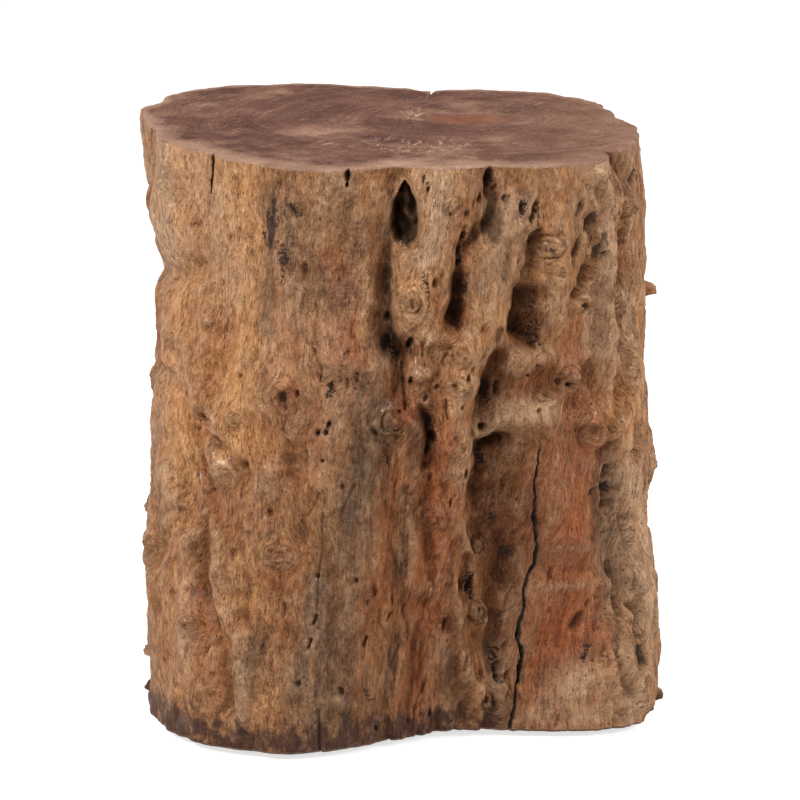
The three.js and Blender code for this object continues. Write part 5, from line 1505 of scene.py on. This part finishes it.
# The deepest places, checks, deep pits and the rot hole, go near black: painted shade, with dark rotten wood
# in the hole.
deep = spread(wall, mask(wall, "hollow"), 0.8, 1.3)
deep_shade_and_rot_colours = shades(wall, tuft, [(0, (26, 19, 15)), (0.6, (46, 35, 28)), (1, (88, 68, 53))])
colour = blend(wall, deep, colour, deep_shade_and_rot_colours)
pore_mask = pores(0.0034, 0.009, 0.15)
dots = pores(0.0021, 0.0034, 0.17, (0.53, 0.29, 0.11))
pore_mask = larger(wall, pore_mask, times(wall, dots, 0.8))
colour = blend(wall, times(wall, pore_mask, 0.7), colour, paint(44, 26, 18))
# Stain spots go near black: bark remnants, and painted shade in pits, crevices and under the lip.
jagged = minus(wall, grains(wall, grain, 420.0, 3.0, 0.7), 0.5)
bark_and_shade = spread(wall, plus(wall, mask(wall, "stain_and_shade"), times(wall, jagged, 2.2)), 0.5, 0.68)
bark_and_shade_colours = shades(wall, tone, [(0, (25, 18, 17)), (0.6, (60, 41, 35)), (1, (110, 76, 60))])
colour = blend(wall, bark_and_shade, colour, bark_and_shade_colours)
clods = minus(wall, grains(wall, grain, 95.0, 5.0, 0.7), 0.5)
earth = plus(wall, mask(wall, "damp"), times(wall, clods, 2.6))
earth = spread(wall, earth, 0.45, 0.95, 0.0, 0.9)
earth_shades = shades(wall, tone, [(0, (40, 24, 20)), (0.6, (80, 52, 40)), (1, (122, 90, 71))])
colour = blend(wall, earth, colour, earth_shades)
gleam = clouds(wall, grain, 60.0, 3.0, 0.6, 0.58, 0.7, 0.0, 0.5)
wall.links.new(colour, shader["Base Color"])
dull = plus(wall, spread(wall, tone, 0.0, 1.0, 0.46, 0.6), times(wall, sunk, 0.1))
wall.links.new(dull, shader["Roughness"])
shader["Specular IOR Level"].default_value = 0.14
wall.links.new(gleam, shader["Coat Weight"])
shader["Coat Roughness"].default_value = 0.16
rough = plus(wall, times(wall, hair["Height"], 0.6), times(wall, strand["Height"], 0.5))
rough = plus(wall, rough, times(wall, times(wall, stringy["Height"], mask(wall, "streaks")), 1.6))
rough = plus(wall, rough, times(wall, tuft, 0.5))
rough = minus(wall, rough, times(wall, larger(wall, pore_mask, slits), 0.5))
fibre_height = 0.0017
bump = put(wall, "Bump", {"Strength": 0.9, "Distance": fibre_height, "Height": rough})
wall.links.new(bump, shader["Normal"])
print("wall material has", len(wall.nodes), "nodes")

# %% [markdown]
# The seat. A sawn cross section shows growth rings round the pith, which grew off centre here, and
# purple-brown heartwood inside a paler rim of sapwood. Ring widths vary from year to year, so the rings
# come from noise that is read along one number only, the distance from the pith.

# %% Seat material
pith = (0.058, 0.03, 0.0)
ring_pull = 0.045
years_per_metre, bands_per_metre = 300.0, 55.0


def ring_noise(tree, reach, scale):
    """Noise along one number, the distance from the pith."""
    plugs = {"W": times(tree, reach, scale), "Scale": 1.0, "Detail": 2.0}
    return put(tree, "TexNoise", plugs, noise_dimensions="1D")


def sawn_rings(tree):
    """A place on a sawn face, and two widths of growth ring there."""
    place = put(tree, "TexCoord", out=3)
    pull = put(tree, "TexNoise", {"Vector": place, "Scale": 11.0, "Detail": 2.0}, out=1)
    pull = vectors(tree, "SUBTRACT", pull, (0.5, 0.5, 0.5))
    pull = put(tree, "VectorMath", {0: pull, "Scale": ring_pull}, operation="SCALE")
    moved = vectors(tree, "SUBTRACT", vectors(tree, "ADD", place, pull), pith)
    flat = vectors(tree, "MULTIPLY", moved, (0.86, 1.1, 0.0))
    reach = put(tree, "VectorMath", {0: flat}, out=1, operation="LENGTH")
    years = ring_noise(tree, reach, years_per_metre)
    return place, years, ring_noise(tree, reach, bands_per_metre)


def patch(tree, place, middle, reach_x, reach_y):
    """1 in the middle of an ellipse on the seat, fading to 0 at its edge."""
    away = vectors(tree, "SUBTRACT", place, (*middle, 0.0))
    away = vectors(tree, "MULTIPLY", away, (1 / reach_x, 1 / reach_y, 0.0))
    return spread(tree, put(tree, "VectorMath", {0: away}, out=1, operation="LENGTH"), 1.0, 0.35)


seat, shader = wood_material("sawn_seat")
place, years, bands = sawn_rings(seat)
blotch = grains(seat, place, 26.0, 5.0, 0.68)
speck = grains(seat, place, 420.0, 3.0, 0.7)
tone = plus(seat, times(seat, years, 0.13), times(seat, bands, 0.13))
tone = plus(seat, tone, plus(seat, times(seat, blotch, 0.42), times(seat, speck, 0.36)))
tone = spread(seat, tone, 0.36, 0.72)
heart = shades(seat, tone, [
    (0, (56, 34, 30)), (0.35, (93, 62, 53)), (0.65, (122, 87, 74)), (1, (170, 131, 111)),
])
amber = shades(seat, tone, [(0, (88, 58, 46)), (0.5, (141, 105, 87)), (1, (188, 152, 130))])
warm = clouds(seat, place, 17.0, 3.0, 0.6, 0.5, 0.66)
colour = blend(seat, warm, heart, amber)
sap = shades(seat, tone, [(0, (126, 92, 73)), (0.5, (172, 136, 114)), (1, (208, 176, 152))])
near_front = spread(seat, put(seat, "SeparateXYZ", {0: place}, out=1), 0.06, -0.15, 0.16, 0.8)
edge_noise = clouds(seat, place, 55.0, 4.0, 0.65, 0.3, 0.7, 0.45, 1.5)
rim_width = times(seat, near_front, edge_noise)
rim = minus(seat, 1.0, sums(seat, "DIVIDE", mask(seat, "from_rim"), rim_width))
colour = blend(seat, spread(seat, rim, 0.0, 1.0, 0.0, 0.9), colour, sap)
right = spread(seat, put(seat, "SeparateXYZ", {0: place}, out=0), 0.06, 0.15, 0.0, 0.8)
colour = blend(seat, right, colour, amber)
pore_mask = use(seat, wood_pores, {"Grain": place, "Width": 0.003, "Length": 0.003, "Share": 0.2})["Mask"]
colour = blend(seat, times(seat, pore_mask, 0.3), colour, paint(66, 44, 38))
orange = times(seat, patch(seat, place, (0.05, 0.025), 0.04, 0.02), edge_noise)
colour = blend(seat, times(seat, orange, 0.38), colour, paint(160, 92, 60))
scratch = use(seat, scuffs, {"Place": place, "Size": 0.003, "Amount": 0.6})["Mask"]
nicks = clouds(seat, vectors(seat, "MULTIPLY", place, (1.0, 0.4, 1.0)), 190.0, 4.0, 0.75, 0.53, 0.62)
star = patch(seat, place, (0.012, -0.07), 0.055, 0.04)
knocked = larger(seat, star, patch(seat, place, (0.011, 0.048), 0.016, 0.04))
scratch = larger(seat, scratch, times(seat, times(seat, nicks, knocked), 0.8))
colour = blend(seat, scratch, colour, paint(196, 162, 138))
seat.links.new(colour, shader["Base Color"])
seat.links.new(spread(seat, tone, 0.0, 1.0, 0.7, 0.82), shader["Roughness"])
shader["Specular IOR Level"].default_value = 0.03
relief = minus(seat, plus(seat, times(seat, years, 0.4), speck), times(seat, pore_mask, 0.6))
seat.links.new(put(seat, "Bump", {"Strength": 0.35, "Distance": 0.0006, "Height": relief}), shader["Normal"])
print("seat material has", len(seat.nodes), "nodes")

# %% [markdown]
# The foot was cut with a chain saw and never sanded, so its rings are crossed by saw marks and its proud
# places are grimy from the floor. It is out of sight, but a stool gets turned over.

# %% Underside material
under, shader = wood_material("sawn_foot")
place, years, bands = sawn_rings(under)
marks = {"Vector": place, "Scale": 70.0, "Distortion": 1.5, "Detail": 2.0}
saw = put(under, "TexWave", marks, out=1, bands_direction="DIAGONAL")
tone = plus(under, times(under, years, 0.4), plus(under, times(under, bands, 0.4), times(under, saw, 0.2)))
foot_tone = spread(under, tone, 0.25, 0.75)
colour = shades(under, foot_tone, [(0, (74, 52, 42)), (0.5, (112, 82, 64)), (1, (150, 116, 90))])
grime = use(under, worn_edges, {"Grain": place, "Proud": 0.5, "Patch": 0.03})["Mask"]
under.links.new(blend(under, grime, colour, paint(84, 66, 54)), shader["Base Color"])
under.links.new(spread(under, tone, 0.2, 0.8, 0.7, 0.85), shader["Roughness"])
under.links.new(put(under, "Bump", {"Strength": 0.4, "Distance": 0.0008, "Height": tone}), shader["Normal"])
print("materials on the trunk:", [m.name for m in trunk_mesh.materials])

# %% [markdown]
# The glides are moulded brown nylon with a scuffed running face, and each is held by a galvanised nail.
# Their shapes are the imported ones. Only the finish is given here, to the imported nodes' own material slots.

# %% Glides and nails
def finish_for(nodes, name, base, roughness, metallic, worn, amount):
    """A scuffed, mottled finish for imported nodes."""
    material = bpy.data.materials.new(name)
    material.use_nodes = True
    tree = material.node_tree
    inputs = tree.nodes["Principled BSDF"].inputs
    place = put(tree, "TexCoord", out=3)
    mottle = clouds(tree, place, 700.0, 3.0, 0.5, 0.35, 0.65)
    colour = blend(tree, times(tree, mottle, 0.4), paint(*base), paint(*worn))
    scratch = use(tree, scuffs, {"Place": place, "Size": 0.0012, "Amount": amount})["Mask"]
    tree.links.new(blend(tree, scratch, colour, paint(*worn)), inputs["Base Color"])
    tree.links.new(spread(tree, mottle, 0.0, 1.0, roughness, roughness + 0.15), inputs["Roughness"])
    inputs["Metallic"].default_value = metallic
    bump = put(tree, "Bump", {"Strength": 0.2, "Distance": 0.0002, "Height": mottle})
    tree.links.new(bump, inputs["Normal"])
    for node in nodes:
        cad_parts[node].data.materials.clear()
        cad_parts[node].data.materials.append(material)


glides = [f"glide_{n}" for n in range(1, 5)]
finish_for(glides, "scuffed_nylon", (91, 70, 54), 0.42, 0.0, (132, 112, 96), 0.8)
nails = [f"glide_nail_{n}" for n in range(1, 5)]
finish_for(nails, "galvanised_nail", (176, 179, 183), 0.3, 1.0, (120, 122, 126), 0.6)
print("glides and nails finished")

# %% [markdown]
# A plain studio: a pale floor, a white surround, and large soft lamps at both sides of the camera. The
# surround is white only for the camera and for reflections, and a quieter grey for lighting, so the
# background is white without flooding the wood.

# %% Floor and surround
def looked_at(tree):
    """1 for what the camera, a mirror or glass shows, 0 for light that falls on things."""
    paths = tree.nodes.new("ShaderNodeLightPath").outputs
    mirrored = larger(tree, paths["Is Glossy Ray"], paths["Is Transmission Ray"])
    return larger(tree, paths["Is Camera Ray"], mirrored)


floor_half = 4
floor_corners = [(x * floor_half, y * floor_half, 0) for x, y in ((-1, -1), (1, -1), (1, 1), (-1, 1))]
floor_mesh = bpy.data.meshes.new("studio_floor")
floor_mesh.from_pydata(floor_corners, [], [(0, 1, 2, 3)])
floor = bpy.data.objects.new("studio_floor", floor_mesh)
scene.collection.objects.link(floor)
floor_material = bpy.data.materials.new("pale_floor")
floor_material.use_nodes = True
tree = floor_material.node_tree
matt = put(tree, "BsdfDiffuse", {"Color": (0.6, 0.6, 0.6, 1)})
lifted = put(tree, "AddShader", {0: matt, 1: put(tree, "Emission", {"Color": (1, 1, 1, 1), "Strength": 0.7})})
mixed = put(tree, "MixShader", {0: looked_at(tree), 1: matt, 2: lifted})
tree.links.new(mixed, tree.nodes["Material Output"].inputs[0])
floor_mesh.materials.append(floor_material)

surround = bpy.data.worlds.new("white_surround")
surround.use_nodes = True
scene.world = surround
tree = surround.node_tree
lighting_strength = 0.43
strength = larger(tree, looked_at(tree), lighting_strength)
tree.links.new(strength, tree.nodes["Background"].inputs["Strength"])
tree.nodes["Background"].inputs["Color"].default_value = (1, 1, 1, 1)
print("floor and surround stand")

# %% [markdown]
# Three soft lamps model the relief: the key from the left and above, a weaker one from the right that
# opens the folds on that side, and a little light from behind for the seat's far rim.

# %% Lamps
stool_middle = Vector((0, 0, 0.25))


def lamp(name, at, size, watts):
    """A square soft lamp that looks at the middle of the stool."""
    light = bpy.data.lights.new(name, "AREA")
    light.shape = "SQUARE"
    light.size = size
    light.energy = watts
    thing = bpy.data.objects.new(name, light)
    thing.location = at
    thing.rotation_euler = (stool_middle - Vector(at)).to_track_quat("-Z", "Y").to_euler()
    scene.collection.objects.link(thing)


lamp("key_left", (-2.0, -1.3, 2.0), 0.8, 62)
lamp("fill_right", (2.2, -0.8, 1.4), 1.0, 40)
lamp("top_back", (0.2, 0.9, 2.4), 1.2, 10)
